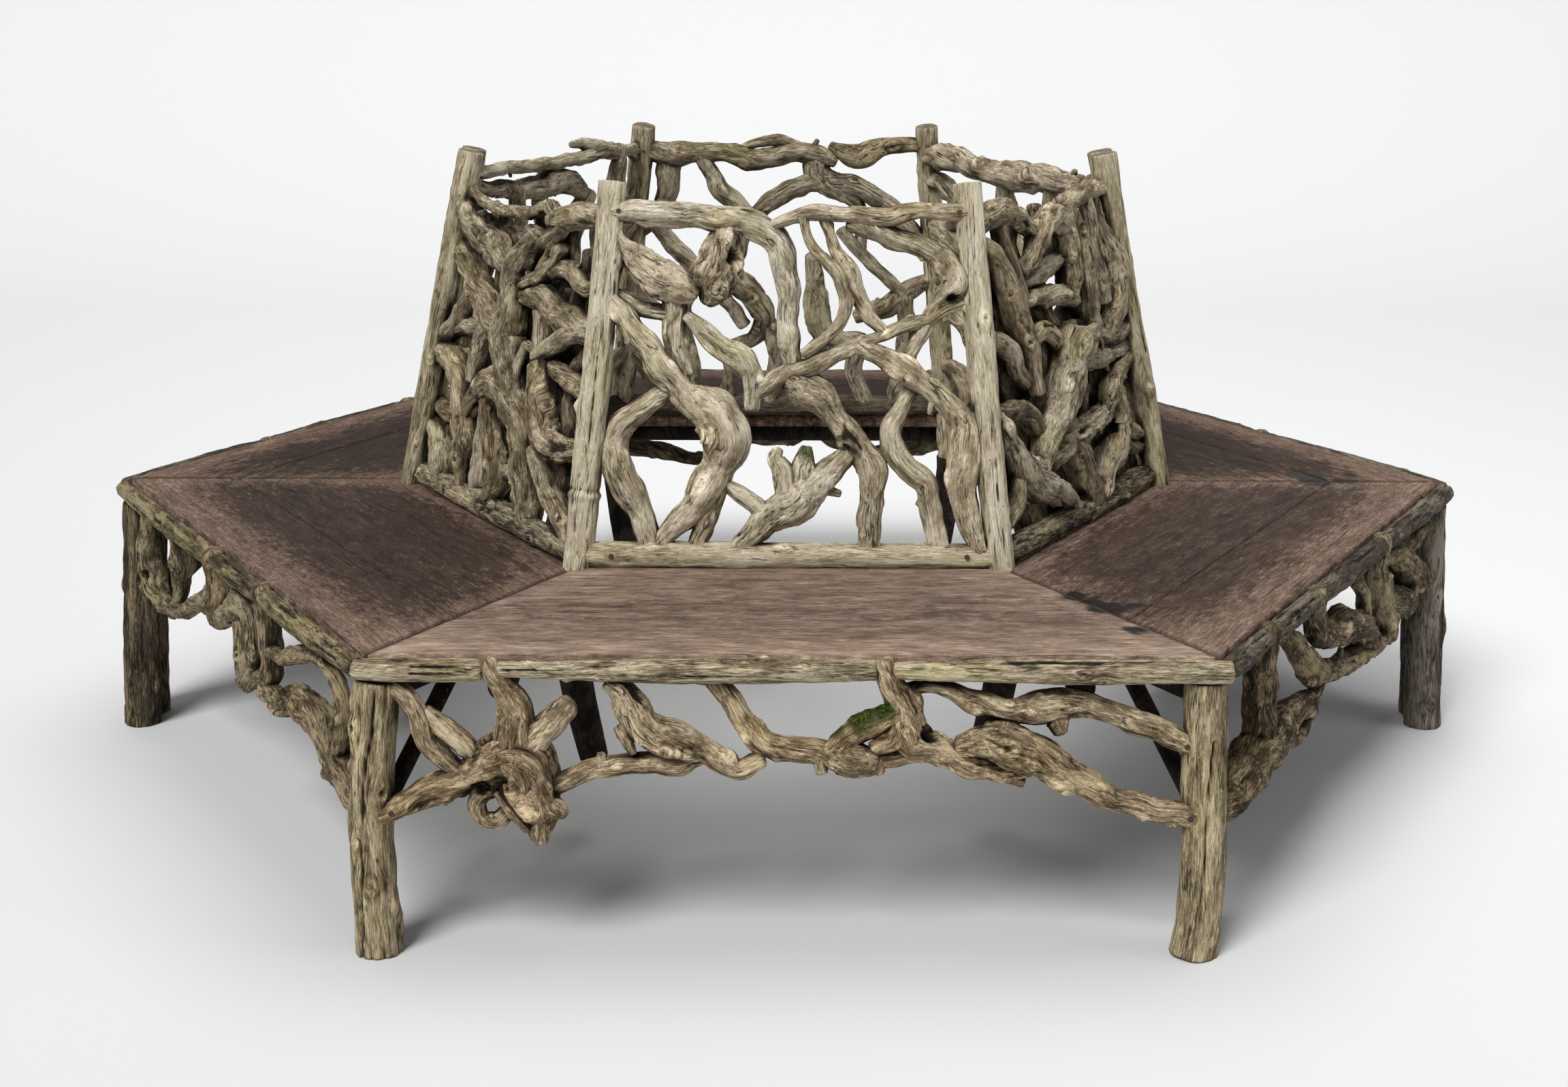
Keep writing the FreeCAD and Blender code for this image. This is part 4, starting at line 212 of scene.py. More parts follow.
FRONT_RIGHT_BACK = [
    [(-135, 432, 8, 12), (-90, 455, 8, 16), (-40, 492, 8, 19), (5, 510, 8, 22), (42, 492, 8, 22),
     (52, 450, 8, 22), (48, 400, 8, 22), (40, 372, 8, 15)],
    [(-278, 500, 8, 12), (-245, 486, 8, 15), (-212, 450, 8, 20), (-182, 395, 8, 22), (-162, 340, 8, 22),
     (-142, 290, 8, 18), (-132, 240, 8, 14)],
    [(-185, 515, 0, 14), (-158, 445, 0, 16), (-140, 400, 0, 15), (-135, 350, 0, 12)],
    [(-140, 392, 2, 10), (-80, 388, 2, 16), (-20, 385, 2, 18), (40, 372, 2, 18), (72, 362, 2, 13)],
    [(-135, 415, -2, 9), (-70, 420, -2, 14), (0, 430, -2, 16), (50, 440, -2, 15)],
    [(72, 522, 4, 18), (92, 460, 4, 26), (102, 405, 4, 26), (110, 350, 4, 24), (128, 300, 4, 18),
     (138, 270, 4, 13)],
    [(158, 525, 6, 13), (168, 460, 6, 15), (176, 410, 6, 16), (190, 345, 6, 14)],
    [(200, 520, 0, 14), (210, 470, 0, 17), (235, 440, 0, 20), (250, 400, 0, 26), (240, 350, 0, 30),
     (215, 315, 0, 28), (190, 285, 0, 16)],
    [(250, 520, -8, 11), (268, 440, -8, 13), (282, 380, -6, 14), (262, 315, -4, 12)],
    [(128, 300, -2, 15), (190, 282, -2, 20), (250, 285, -2, 22), (310, 300, -2, 15)],
    [(-150, 112, 4, 14), (-115, 160, 4, 26), (-70, 200, 4, 34), (-25, 245, 4, 40), (15, 285, 4, 40),
     (60, 300, 4, 34), (130, 305, 2, 18)],
    [(-20, 262, 0, 30), (40, 268, 0, 26), (110, 258, 0, 20), (180, 252, 0, 17), (250, 255, 0, 14),
     (322, 262, 0, 11)],
    [(128, 160, 6, 13), (160, 190, 6, 24), (200, 215, 6, 18), (250, 232, 6, 14), (318, 246, 4, 11)],
    [(-300, 238, -2, 13), (-225, 228, -2, 16), (-170, 215, -2, 18), (-130, 180, -2, 17)],
    [(-300, 355, 2, 11), (-245, 340, 2, 18), (-205, 318, 2, 18), (-190, 290, 2, 16), (-158, 262, 2, 13)],
    [(-290, 232, 6, 12), (-250, 180, 6, 16), (-222, 135, 6, 24), (-180, 98, 6, 28), (-125, 78, 6, 24),
     (-72, 55, 6, 18), (-34, 28, 6, 13)],
    [(-210, 130, 0, 12), (-140, 125, 0, 18), (-70, 130, 0, 20), (0, 140, 0, 22), (60, 150, 0, 22),
     (120, 158, 0, 19), (168, 168, 0, 15)],
    [(-14, 130, 4, 26), (10, 80, 4, 28), (25, 52, 4, 26), (30, 24, 4, 24)],
    [(66, 24, 4, 16), (105, 65, 4, 24), (150, 92, 4, 26), (185, 120, 4, 24), (185, 190, 4, 22)],
    [(185, 135, 2, 18), (235, 110, 2, 16), (285, 98, 2, 14), (322, 90, 2, 12)],
    [(150, 100, 0, 12), (230, 82, 0, 12), (322, 60, 0, 11)],
    [(-142, 318, 4, 10), (-95, 335, 4, 16), (-60, 330, 4, 15), (-20, 300, 4, 14)],
    [(-302, 60, 2, 14), (-252, 85, 2, 16), (-225, 125, 2, 12)],
]
REAR_TOP_RAILS = [
    [(-272, 548, 0, 16), (-215, 535, 0, 24), (-150, 540, 0, 19), (-90, 532, 0, 18), (-50, 527, 0, 20),
     (10, 538, 0, 18), (60, 538, 0, 18), (96, 524, 0, 13)],
    [(88, 552, 4, 9), (110, 540, 4, 16), (140, 530, 4, 22), (175, 543, 4, 20), (210, 553, 4, 16),
     (270, 552, 4, 14)],
    [(-84, 545, 8, 7), (-45, 560, 8, 11), (-10, 562, 8, 11), (20, 553, 8, 9), (48, 538, 8, 7)],
]
REAR_BACK = [
    [(-228, 525, 4, 20), (-225, 490, 4, 24), (-232, 450, 4, 20), (-262, 400, 4, 15), (-292, 372, 2, 13)],
    [(-165, 535, -4, 14), (-138, 495, -4, 17), (-122, 465, -4, 20), (-95, 440, -4, 18), (-66, 412, -4, 13)],
    [(-88, 330, 0, 13), (-75, 380, 0, 14), (-55, 415, 0, 16), (-15, 450, 0, 18), (35, 475, 0, 19),
     (80, 482, 0, 20), (120, 478, 0, 20), (165, 460, 0, 19), (205, 432, 0, 18), (240, 395, 0, 16),
     (285, 345, 0, 13)],
    [(62, 540, 6, 18), (62, 505, 6, 26), (75, 485, 6, 26), (105, 465, 6, 22), (135, 440, 6, 16),
     (152, 405, 6, 13), (150, 345, 4, 12)],
    [(110, 385, -6, 12), (160, 330, -6, 13), (200, 290, -6, 13), (248, 240, -6, 12)],
    [(-285, 432, -6, 14), (-215, 350, -6, 17), (-165, 300, -6, 17), (-120, 250, -6, 15),
     (-80, 190, -6, 14)],
    [(-120, 345, 2, 18), (-110, 300, 2, 24), (-70, 255, 2, 24), (-38, 205, 2, 22), (-60, 160, 2, 17),
     (-110, 140, 2, 13)],
    [(55, 330, 6, 14), (60, 270, 6, 20), (65, 235, 6, 26), (70, 195, 6, 24), (95, 160, 6, 22),
     (160, 150, 6, 16)],
    [(145, 205, 0, 14), (200, 225, 0, 22), (250, 262, 0, 20), (298, 285, 0, 13)],
    [(-300, 130, 0, 20), (-262, 80, 0, 20), (-235, 28, 0, 18)],
    [(-190, 270, 4, 15), (-205, 190, 4, 20), (-190, 95, 4, 22), (-205, 28, 4, 18)],
    [(-30, 190, 0, 18), (-12, 120, 0, 20), (-30, 28, 0, 18)],
    [(150, 160, 0, 16), (142, 95, 0, 18), (165, 28, 0, 18)],
    [(240, 250, -4, 16), (245, 150, -4, 20), (230, 28, -4, 20)],
    [(85, 165, -2, 16), (50, 110, -2, 18), (66, 28, -2, 16)],
    [(-300, 255, 0, 14), (-250, 215, 0, 15), (-195, 175, 0, 14)],
    [(-120, 145, -4, 13), (-105, 90, -4, 16), (-120, 28, -4, 15)],
]
REAR_LEFT_TOP_RAILS = [
    [(-272, 545, 0, 12), (-180, 552, 0, 12), (-100, 545, 0, 11), (-20, 545, 0, 12), (60, 548, 0, 12),
     (140, 552, 0, 14), (215, 548, 0, 13), (272, 545, 0, 12)],
    [(-272, 528, 4, 12), (-200, 515, 4, 14), (-130, 505, 4, 18), (-60, 503, 4, 22), (0, 508, 4, 24),
     (60, 495, 4, 20), (112, 462, 4, 14)],
    [(42, 572, 8, 6), (95, 568, 8, 13), (150, 560, 8, 12), (208, 548, 8, 9)],
]
REAR_LEFT_BACK = [
    [(205, 548, 4, 10), (218, 505, 4, 12), (238, 462, 4, 11), (290, 440, 4, 10)],
    [(235, 545, 2, 9), (272, 515, 2, 10), (276, 480, 2, 10), (262, 452, 2, 9)],
    [(-296, 470, 0, 16), (-240, 430, 0, 22), (-170, 390, 0, 24), (-100, 360, 0, 20), (-60, 310, 0, 16),
     (-40, 250, 0, 14)],
    [(105, 478, 0, 18), (60, 400, 0, 24), (30, 340, 0, 24), (50, 280, 0, 22), (20, 210, 0, 20),
     (-40, 165, 0, 16)],
    [(302, 420, 0, 14), (240, 380, 0, 18), (180, 340, 0, 20), (120, 300, 0, 16), (42, 275, 0, 13)],
    [(-314, 300, 0, 16), (-240, 250, 0, 22), (-170, 230, 0, 26), (-100, 180, 0, 24), (-80, 110, 0, 22),
     (-104, 26, 0, 16)],
    [(318, 250, 0, 14), (240, 230, 0, 20), (160, 200, 0, 24), (110, 140, 0, 24), (130, 90, 0, 20),
     (118, 26, 0, 16)],
    [(-318, 130, 0, 16), (-240, 95, 0, 20), (-200, 60, 0, 20), (-188, 26, 0, 16)],
    [(20, 212, 4, 18), (10, 120, 4, 22), (-20, 80, 4, 20), (-8, 26, 4, 16)],
    [(322, 140, 0, 14), (250, 100, 0, 20), (220, 60, 0, 20), (242, 26, 0, 16)],
    [(-175, 400, 6, 13), (-200, 320, 6, 16), (-175, 235, 6, 15)],
    [(190, 560, -4, 12), (180, 470, -4, 15), (150, 400, -4, 17), (175, 325, -4, 14)],
    [(-130, 512, -4, 14), (-120, 440, -4, 17), (-150, 375, -4, 15)],
    [(-60, 505, -2, 14), (-30, 430, -2, 16), (35, 360, -2, 15)],
]
REAR_RIGHT_TOP_RAILS = [
    [(-272, 535, 0, 21), (-220, 538, 0, 24), (-150, 530, 0, 22), (-60, 522, 0, 22), (0, 522, 0, 27),
     (80, 527, 0, 25), (150, 527, 0, 20), (205, 531, 0, 13)],
    [(185, 522, 6, 12), (240, 535, 6, 14), (275, 540, 6, 13)],
]
REAR_RIGHT_BACK = [
    [(-290, 490, 0, 15), (-230, 482, 0, 18), (-205, 450, 0, 16), (-220, 408, 0, 14), (-296, 385, 0, 13)],
    [(-304, 410, 0, 18), (-230, 370, 0, 22), (-160, 340, 0, 24), (-100, 300, 0, 22), (-60, 250, 0, 20),
     (-40, 190, 0, 18)],
    [(-20, 522, 0, 18), (-40, 440, 0, 20), (-10, 380, 0, 20), (0, 320, 0, 18), (-60, 262, 0, 15)],
    [(290, 480, 0, 15), (200, 430, 0, 20), (140, 400, 0, 22), (80, 390, 0, 20), (-5, 355, 0, 16)],
    [(312, 330, 0, 16), (230, 300, 0, 20), (170, 270, 0, 24), (100, 260, 0, 26), (40, 230, 0, 24),
     (0, 180, 0, 22), (10, 120, 0, 20), (-20, 60, 0, 18), (-15, 26, 0, 17)],
    [(-316, 240, 0, 16), (-250, 220, 0, 20), (-190, 180, 0, 22), (-160, 130, 0, 24), (-170, 80, 0, 20),
     (-148, 26, 0, 18)],
    [(318, 190, 0, 14), (250, 160, 0, 20), (210, 120, 0, 22), (190, 80, 0, 20), (202, 26, 0, 18)],
    [(-322, 110, 0, 14), (-260, 90, 0, 18), (-240, 60, 0, 20), (-252, 26, 0, 18)],
    [(100, 270, 4, 16), (112, 170, 4, 18), (90, 110, 4, 20), (102, 26, 4, 17)],
    [(-60, 225, 4, 16), (-90, 150, 4, 18), (-78, 90, 4, 20), (-104, 26, 4, 17)],
    [(180, 440, -4, 15), (190, 340, -4, 17), (168, 262, -4, 14)],
    [(-150, 350, 6, 13), (-152, 290, 6, 15), (-130, 230, 6, 14), (-158, 160, 6, 13)],
    [(120, 525, -4, 13), (110, 470, -4, 16), (130, 395, -4, 15)],
]

# Routes of apron branches: across, height, out and radius at each point, on the plane of an apron
APRONS = {
    "front": [
        [(-572, 213, 0, 14), (-540, 228, 0, 16), (-500, 252, 0, 18), (-460, 268, 0, 19), (-430, 285, 0, 28),
         (-395, 300, 0, 38), (-375, 290, 0, 45), (-360, 250, 0, 38), (-350, 220, 0, 28), (-350, 190, 0, 15)],
        [(-385, 320, 0, 30), (-380, 365, 2, 24), (-390, 395, 4, 18), (-410, 425, 12, 14), (-417, 443, 15, 13)],
        [(-365, 320, 2, 24), (-330, 355, 2, 20), (-308, 378, 2, 17)],
        [(-550, 404, 2, 12), (-528, 385, 2, 15), (-512, 352, 2, 16), (-502, 318, 2, 17), (-462, 278, 0, 14)],
        [(-508, 362, -4, 14), (-480, 340, -4, 16), (-455, 318, -4, 15), (-432, 290, -2, 12)],
        [(-348, 248, 0, 14), (-318, 262, 0, 14), (-290, 278, 0, 15), (-250, 287, 0, 16), (-200, 292, 0, 16),
         (-160, 292, 0, 17), (-118, 305, 0, 13)],
        [(-254, 410, 6, 10), (-232, 395, 6, 18), (-215, 365, 6, 22), (-190, 335, 6, 26), (-150, 325, 6, 24),
         (-120, 310, 6, 18), (-95, 295, 6, 18), (-75, 285, 6, 16), (-42, 300, 6, 13)],
        [(-106, 413, -2, 16), (-85, 385, -2, 16), (-65, 350, -2, 17), (-40, 322, -2, 18), (-10, 312, -2, 18),
         (20, 310, -2, 18), (55, 300, -2, 17), (90, 295, -2, 16), (130, 298, -2, 14), (175, 308, -2, 14)],
        [(124, 443, 15, 14), (140, 405, 8, 17), (155, 380, 4, 20), (160, 350, 2, 26), (165, 325, 2, 28),
         (190, 318, 2, 22), (220, 305, 2, 20), (245, 290, 2, 18), (270, 285, 2, 14), (300, 278, 2, 12),
         (335, 285, 2, 10)],
        [(55, 308, 4, 17), (100, 345, 4, 18), (152, 368, 4, 16)],
        [(150, 396, -4, 9), (190, 404, -4, 9), (220, 400, -4, 12), (245, 385, -4, 15), (270, 375, -4, 17),
         (300, 365, -4, 16), (350, 372, -4, 25), (400, 378, -4, 18), (450, 360, -4, 17), (500, 343, -4, 17),
         (556, 318, -4, 14)],
        [(232, 318, 4, 16), (275, 325, 4, 24), (310, 322, 4, 28), (350, 300, 4, 28), (400, 265, 4, 21),
         (450, 240, 4, 18), (500, 226, 4, 17), (550, 218, 4, 17), (574, 213, 4, 15)],
    ],
    "front_left": [
        [(-485, 412, 0, 12), (-490, 360, 0, 18), (-492, 310, 0, 24), (-470, 275, 0, 22), (-420, 262, 0, 16),
         (-350, 268, 0, 15), (-290, 280, 0, 14), (-230, 305, 0, 14), (-160, 335, 0, 14), (-110, 365, 0, 13),
         (-78, 400, 0, 11)],
        [(-552, 262, 0, 14), (-515, 268, 0, 18), (-478, 278, 0, 17)],
        [(-295, 413, -4, 19), (-290, 365, -4, 22), (-310, 330, -4, 16), (-336, 272, -4, 12)],
        [(-45, 443, 18, 17), (-50, 405, 6, 24), (-60, 360, 2, 28), (-85, 322, 0, 20), (-122, 330, 0, 13)],
        [(-58, 335, 4, 18), (-20, 345, 4, 20), (30, 375, 4, 22), (80, 385, 4, 22), (112, 360, 4, 18),
         (110, 320, 4, 18), (85, 285, 4, 24), (55, 262, 4, 20), (36, 300, 4, 13), (34, 350, 4, 12)],
        [(189, 443, 17, 16), (188, 400, 6, 18), (175, 345, 2, 18), (160, 295, 0, 18), (100, 280, 0, 15)],
        [(140, 265, 2, 15), (225, 270, 2, 18), (290, 292, 2, 24), (345, 298, 2, 26), (400, 285, 2, 24),
         (450, 255, 2, 20), (510, 222, 2, 18), (556, 211, 2, 15)],
        [(178, 345, 6, 10), (235, 345, 6, 11), (300, 368, 6, 14), (370, 388, 6, 14), (430, 396, 4, 12),
         (480, 380, 4, 12), (505, 345, 4, 12), (490, 310, 2, 12), (455, 262, 2, 11)],
        [(-262, 292, -6, 11), (-190, 318, -6, 14), (-130, 325, -6, 16), (-60, 330, -6, 14)],
    ],
    "front_right": [
        [(-556, 214, 2, 21), (-500, 215, 2, 30), (-440, 232, 2, 34), (-380, 248, 2, 34), (-320, 258, 2, 28),
         (-260, 262, 2, 22), (-190, 258, 2, 18), (-130, 250, 2, 14), (-85, 275, 2, 11)],
        [(-400, 443, 16, 15), (-398, 402, 6, 21), (-391, 352, 3, 25), (-383, 268, 1, 25)],
        [(-312, 240, 4, 13), (-235, 222, 4, 18), (-190, 215, 4, 14), (-150, 245, 4, 11)],
        [(-318, 411, 0, 12), (-250, 380, 0, 18), (-185, 335, 0, 22), (-120, 295, 0, 22), (-45, 272, 0, 20),
         (50, 260, 0, 20), (140, 250, 0, 20), (215, 242, 0, 18), (296, 240, 0, 13)],
        [(-185, 443, 16, 14), (-165, 405, 8, 18), (-130, 365, 4, 20), (-70, 342, 4, 24), (0, 335, 4, 28),
         (70, 318, 4, 28), (130, 290, 4, 26), (200, 255, 4, 18)],
        [(45, 413, 0, 10), (95, 385, 0, 12), (135, 350, 0, 12), (160, 280, 0, 12)],
        [(175, 443, 16, 15), (180, 400, 6, 20), (205, 355, 4, 24), (245, 305, 4, 24), (285, 262, 4, 22),
         (308, 232, 4, 14)],
        [(200, 390, 2, 13), (290, 385, 2, 18), (360, 362, 2, 24), (430, 325, 2, 24), (490, 290, 2, 22),
         (552, 260, 2, 16)],
        [(262, 300, 0, 18), (330, 292, 0, 26), (390, 275, 0, 26), (430, 258, 0, 18), (462, 295, 0, 13)],
        [(330, 365, 6, 12), (400, 385, 6, 14), (460, 395, 6, 16), (520, 385, 6, 16), (556, 365, 6, 13)],
    ],
    "rear": [
        [(-574, 240, 2, 14), (-500, 262, 2, 18), (-430, 285, 2, 22), (-370, 300, 2, 30), (-310, 285, 2, 26),
         (-250, 262, 2, 20), (-180, 262, 2, 18), (-90, 305, 2, 14)],
        [(-330, 443, 16, 14), (-335, 400, 6, 17), (-350, 350, 2, 20), (-370, 295, 0, 24)],
        [(-150, 412, 0, 14), (-120, 365, 0, 18), (-80, 330, 0, 20), (-20, 305, 0, 20), (50, 300, 0, 20),
         (110, 315, 0, 18), (150, 350, 0, 16), (168, 412, 0, 14)],
        [(60, 443, 16, 14), (62, 405, 8, 17), (70, 360, 4, 18), (58, 300, 2, 18)],
        [(574, 230, 2, 14), (500, 255, 2, 18), (430, 285, 2, 24), (370, 320, 2, 24), (310, 350, 2, 20),
         (250, 365, 2, 16), (150, 350, 2, 12)],
        [(330, 413, 2, 16), (335, 380, 2, 18), (352, 325, 2, 20)],
        [(75, 300, -4, 15), (180, 250, -4, 14), (250, 262, 0, 18), (330, 275, 0, 20), (440, 275, 0, 15)],
    ],
    "rear_left": [
        [(-556, 300, 0, 14), (-490, 315, 0, 20), (-430, 300, 0, 24), (-370, 270, 0, 24), (-300, 255, 0, 20),
         (-230, 262, 0, 16), (-100, 340, 0, 13)],
        [(-220, 443, 16, 15), (-222, 400, 6, 20), (-235, 350, 2, 24), (-270, 300, 0, 26), (-292, 252, 0, 17)],
        [(-124, 412, 0, 13), (-80, 370, 0, 16), (-20, 340, 0, 20), (50, 325, 0, 24), (110, 300, 0, 24),
         (178, 270, 0, 16)],
        [(210, 443, 16, 14), (205, 400, 6, 18), (190, 350, 2, 22), (165, 280, 0, 22)],
        [(556, 230, 0, 14), (480, 250, 0, 18), (410, 275, 0, 22), (340, 290, 0, 24), (270, 275, 0, 22),
         (168, 265, 0, 16)],
        [(556, 330, 0, 13), (480, 350, 0, 15), (410, 385, 0, 16), (330, 411, 0, 13)],
        [(-270, 280, 4, 13), (-160, 290, 4, 15), (-60, 355, 4, 14)],
    ],
    "rear_right": [
        [(-556, 240, 0, 14), (-480, 262, 0, 18), (-410, 300, 0, 22), (-350, 330, 0, 24), (-280, 340, 0, 20),
         (-210, 320, 0, 18), (-122, 275, 0, 15)],
        [(-100, 443, 16, 15), (-105, 400, 6, 20), (-120, 350, 2, 24), (-140, 300, 0, 24), (-130, 250, 0, 16)],
        [(-132, 300, 4, 18), (-50, 280, 0, 20), (30, 290, 0, 18), (110, 310, 0, 18), (180, 300, 0, 18),
         (262, 262, 0, 14)],
        [(260, 443, 16, 15), (255, 400, 6, 18), (245, 350, 2, 20), (252, 268, 0, 18)],
        [(556, 300, 0, 14), (480, 285, 0, 20), (410, 262, 0, 24), (340, 262, 0, 22), (280, 285, 0, 18),
         (240, 335, 0, 15)],
        [(-484, 413, 4, 13), (-440, 370, 4, 16), (-415, 320, 4, 15), (-398, 285, 4, 13)],
    ],
}

# Top rails and branches of each back, and -1 where they were drawn from inside
BACKS = {
    "front": (FRONT_TOP_RAILS, FRONT_BACK, 1),
    "front_left": (FRONT_LEFT_TOP_RAILS, FRONT_LEFT_BACK, 1),
    "front_right": (FRONT_RIGHT_TOP_RAILS, FRONT_RIGHT_BACK, 1),
    "rear": (REAR_TOP_RAILS, REAR_BACK, -1),
    "rear_left": (REAR_LEFT_TOP_RAILS, REAR_LEFT_BACK, -1),
    "rear_right": (REAR_RIGHT_TOP_RAILS, REAR_RIGHT_BACK, -1),
}

# Places, in millimetres


def outward(angle):
    """Horizontal direction away from the trunk."""
    return np.array([math.cos(math.radians(angle)), math.sin(math.radians(angle)), 0.0])


def along(angle):
    """Horizontal direction along a seat section."""
    return np.array([-math.sin(math.radians(angle)), math.cos(math.radians(angle)), 0.0])


def back_normal(section):
    """Direction out of the leaning plane of a back."""
    tilt = math.atan2((POST_FOOT - POST_HEAD) * COS_30, POST_TOP - SEAT_HEIGHT)
    return outward(SECTIONS[section]) * math.cos(tilt) + UP * math.sin(tilt)


def back_point(section, across, rise, out):
    """Place on the leaning plane of a back, from where it is drawn."""
    angle = SECTIONS[section]
    drawn_half = (DRAWN_FOOT - (DRAWN_FOOT - DRAWN_HEAD) * rise / DRAWN_SLANT) / 2
    share = rise / DRAWN_SLANT
    circle = POST_FOOT * (1 - share) + POST_HEAD * share
    base = outward(angle) * circle * COS_30 + np.array([0, 0, SEAT_HEIGHT + share * (POST_TOP - SEAT_HEIGHT)])
    return base + along(angle) * (across * circle / 2 / drawn_half) + back_normal(section) * out


def apron_point(section, across, height, out):
    """Place on the upright plane of an apron."""
    angle = SECTIONS[section]
    return outward(angle) * (APRON_PLANE + out) + along(angle) * across + np.array([0, 0, height])


def half_of(section):
    """Body that a seat section belongs to."""
    return "front_half" if section in FRONT_HALF else "rear_half"


def half_of_corner(corner):
    """Body that the leg and the post of a corner belong to."""
    side = CORNERS[corner][1]
    if side:
        return "front_half" if side < 0 else "rear_half"
    return "front_half" if corner.startswith("front") else "rear_half"


# Smooth noise on points, for meshes

table = np.random.default_rng(7).permutation(256)
TURNS = np.concatenate([table, table, table])
HEADINGS = np.array(
    [
        [1, 1, 0], [-1, 1, 0], [1, -1, 0], [-1, -1, 0], [1, 0, 1], [-1, 0, 1], [1, 0, -1], [-1, 0, -1],
        [0, 1, 1], [0, -1, 1], [0, 1, -1], [0, -1, -1], [1, 1, 0], [-1, 1, 0], [0, -1, 1], [0, -1, -1],
    ],
    float,
)


def noise(points):
    """Gradient noise, about -1 to 1, at points in its own cells."""
    cell = np.floor(points).astype(int)
    part = points - cell
    cell &= 255
    ease = part * part * part * (part * (part * 6 - 15) + 10)
    total = np.zeros(len(points))
    for corner in itertools.product((0, 1), repeat=3):
        x, y, z = ((cell + corner) & 255).T
        slope = HEADINGS[TURNS[TURNS[TURNS[x] + y] + z] & 15]
        weight = np.where(corner, ease, 1 - ease).prod(1)
        total += weight * (slope * (part - corner)).sum(1)
    return total


def layered(points, octaves):
    """Noise in layers, each twice as fine and half as strong."""
    total = np.zeros(len(points))
    strength = 1.0
    for octave in range(octaves):
        total += strength * noise(points * 2**octave + 17.3 * octave)
        strength *= 0.5
    return total


# Wood made of round sections


def smooth_route(points, radii, step):
    """Points and radii along a smooth line through a route."""
    rows = np.column_stack([points, radii])
    gaps = np.linalg.norm(np.diff(rows[:, :3], axis=0), axis=1)
    knots = np.concatenate([[0], np.cumsum(np.sqrt(gaps))])
    slopes = np.gradient(rows, knots, axis=0) if len(rows) > 2 else np.tile((rows[1] - rows[0]) / knots[1], (2, 1))
    pieces = []
    for index, gap in enumerate(gaps):
        span = knots[index + 1] - knots[index]
        t = np.linspace(0, 1, max(1, math.ceil(gap / step)), endpoint=False)[:, None]
        piece = (2 * t**3 - 3 * t**2 + 1) * rows[index] + (t**3 - 2 * t**2 + t) * span * slopes[index]
        piece += (3 * t**2 - 2 * t**3) * rows[index + 1] + (t**3 - t**2) * span * slopes[index + 1]
        pieces.append(piece)
    pieces.append(rows[-1:])
    rows = np.vstack(pieces)
    return rows[:, :3], np.maximum(rows[:, 3], min(radii) * 0.85)


def travelled(points):
    """Way from the first point to each point."""
    return np.concatenate([[0], np.cumsum(np.linalg.norm(np.diff(points, axis=0), axis=1))])


def skin(rows, around, turned=False):
    """Faces of a closed tube: quads between its rings, and a fan of triangles on each end."""
    index = np.arange(rows * around).reshape(rows, around)
    beside = np.roll(index, -1, axis=1)
    quads = np.stack([index[:-1], beside[:-1], beside[1:], index[1:]], -1).reshape(-1, 4)
    low, high = (np.full(around, rows * around + end) for end in (0, 1))
    fans = np.vstack([np.column_stack([beside[0], index[0], low]), np.column_stack([index[-1], beside[-1], high])])
    if turned:
        quads, fans = quads[:, [0, 3, 2, 1]], fans[:, [1, 0, 2]]
    return quads, fans


def store(mesh, rows):
    """Keeps vectors at each point of a mesh, for its material."""
    for label, values in rows.items():
        data = mesh.attributes.new(label, "FLOAT_VECTOR", "POINT").data
        data.foreach_set("vector", values.astype(np.float32).ravel())


class Wood:
    """Meshes of one node, gathered before they become one object."""

    def __init__(self):
        self.parts = []
        self.count = 0

    def add(self, points, quads, fans, grain, look, tone):
        self.parts.append((points, quads + self.count, fans + self.count, grain, look, tone))
        self.count += len(points)

    def piece(self, name, body, slot, material, node):
        """Keeps what makes the object; all objects are made once every piece is known."""
        self.points, self.quads, self.fans, self.grain, self.look, self.tone = map(np.vstack, zip(*self.parts))
        self.points[:, 2] = np.maximum(self.points[:, 2], 0)
        self.plan = (name, body, slot, material, node)
        woods.append(self)

    def build(self, gap_shade):
        """Makes the object, which takes the place of its solid."""
        name, body, slot, material, node = self.plan
        quads, fans = self.quads, self.fans
        mesh = bpy.data.meshes.new(name)
        mesh.vertices.add(len(self.points))
        mesh.vertices.foreach_set("co", (self.points * 0.001).astype(np.float32).ravel())
        mesh.loops.add(quads.size + fans.size)
        mesh.loops.foreach_set("vertex_index", np.concatenate([quads.ravel(), fans.ravel()]).astype(np.int32))
        mesh.polygons.add(len(quads) + len(fans))
        starts = np.concatenate([np.arange(len(quads)) * 4, quads.size + np.arange(len(fans)) * 3])
        mesh.polygons.foreach_set("loop_start", starts.astype(np.int32))
        mesh.update(calc_edges=True)
        mesh.validate()
        mesh.shade_smooth()
        normals = np.zeros(len(self.points) * 3, np.float32)
        mesh.vertices.foreach_get("normal", normals)
        # How shut in each point is, for the painted shade of narrow gaps
        shut_in = gap_shade(self.points + normals.reshape(-1, 3) * 14)
        crowded = np.column_stack([shut_in, shut_in, shut_in])
        store(mesh, {"grain": self.grain, "look": self.look, "tone": self.tone, "gap_shade": crowded})
        mesh.materials.append(material)
        item = bpy.data.objects.new(name, mesh)
        bpy.context.scene.collection.objects.link(item)
        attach(item, body)
        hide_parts(node)


woods = []


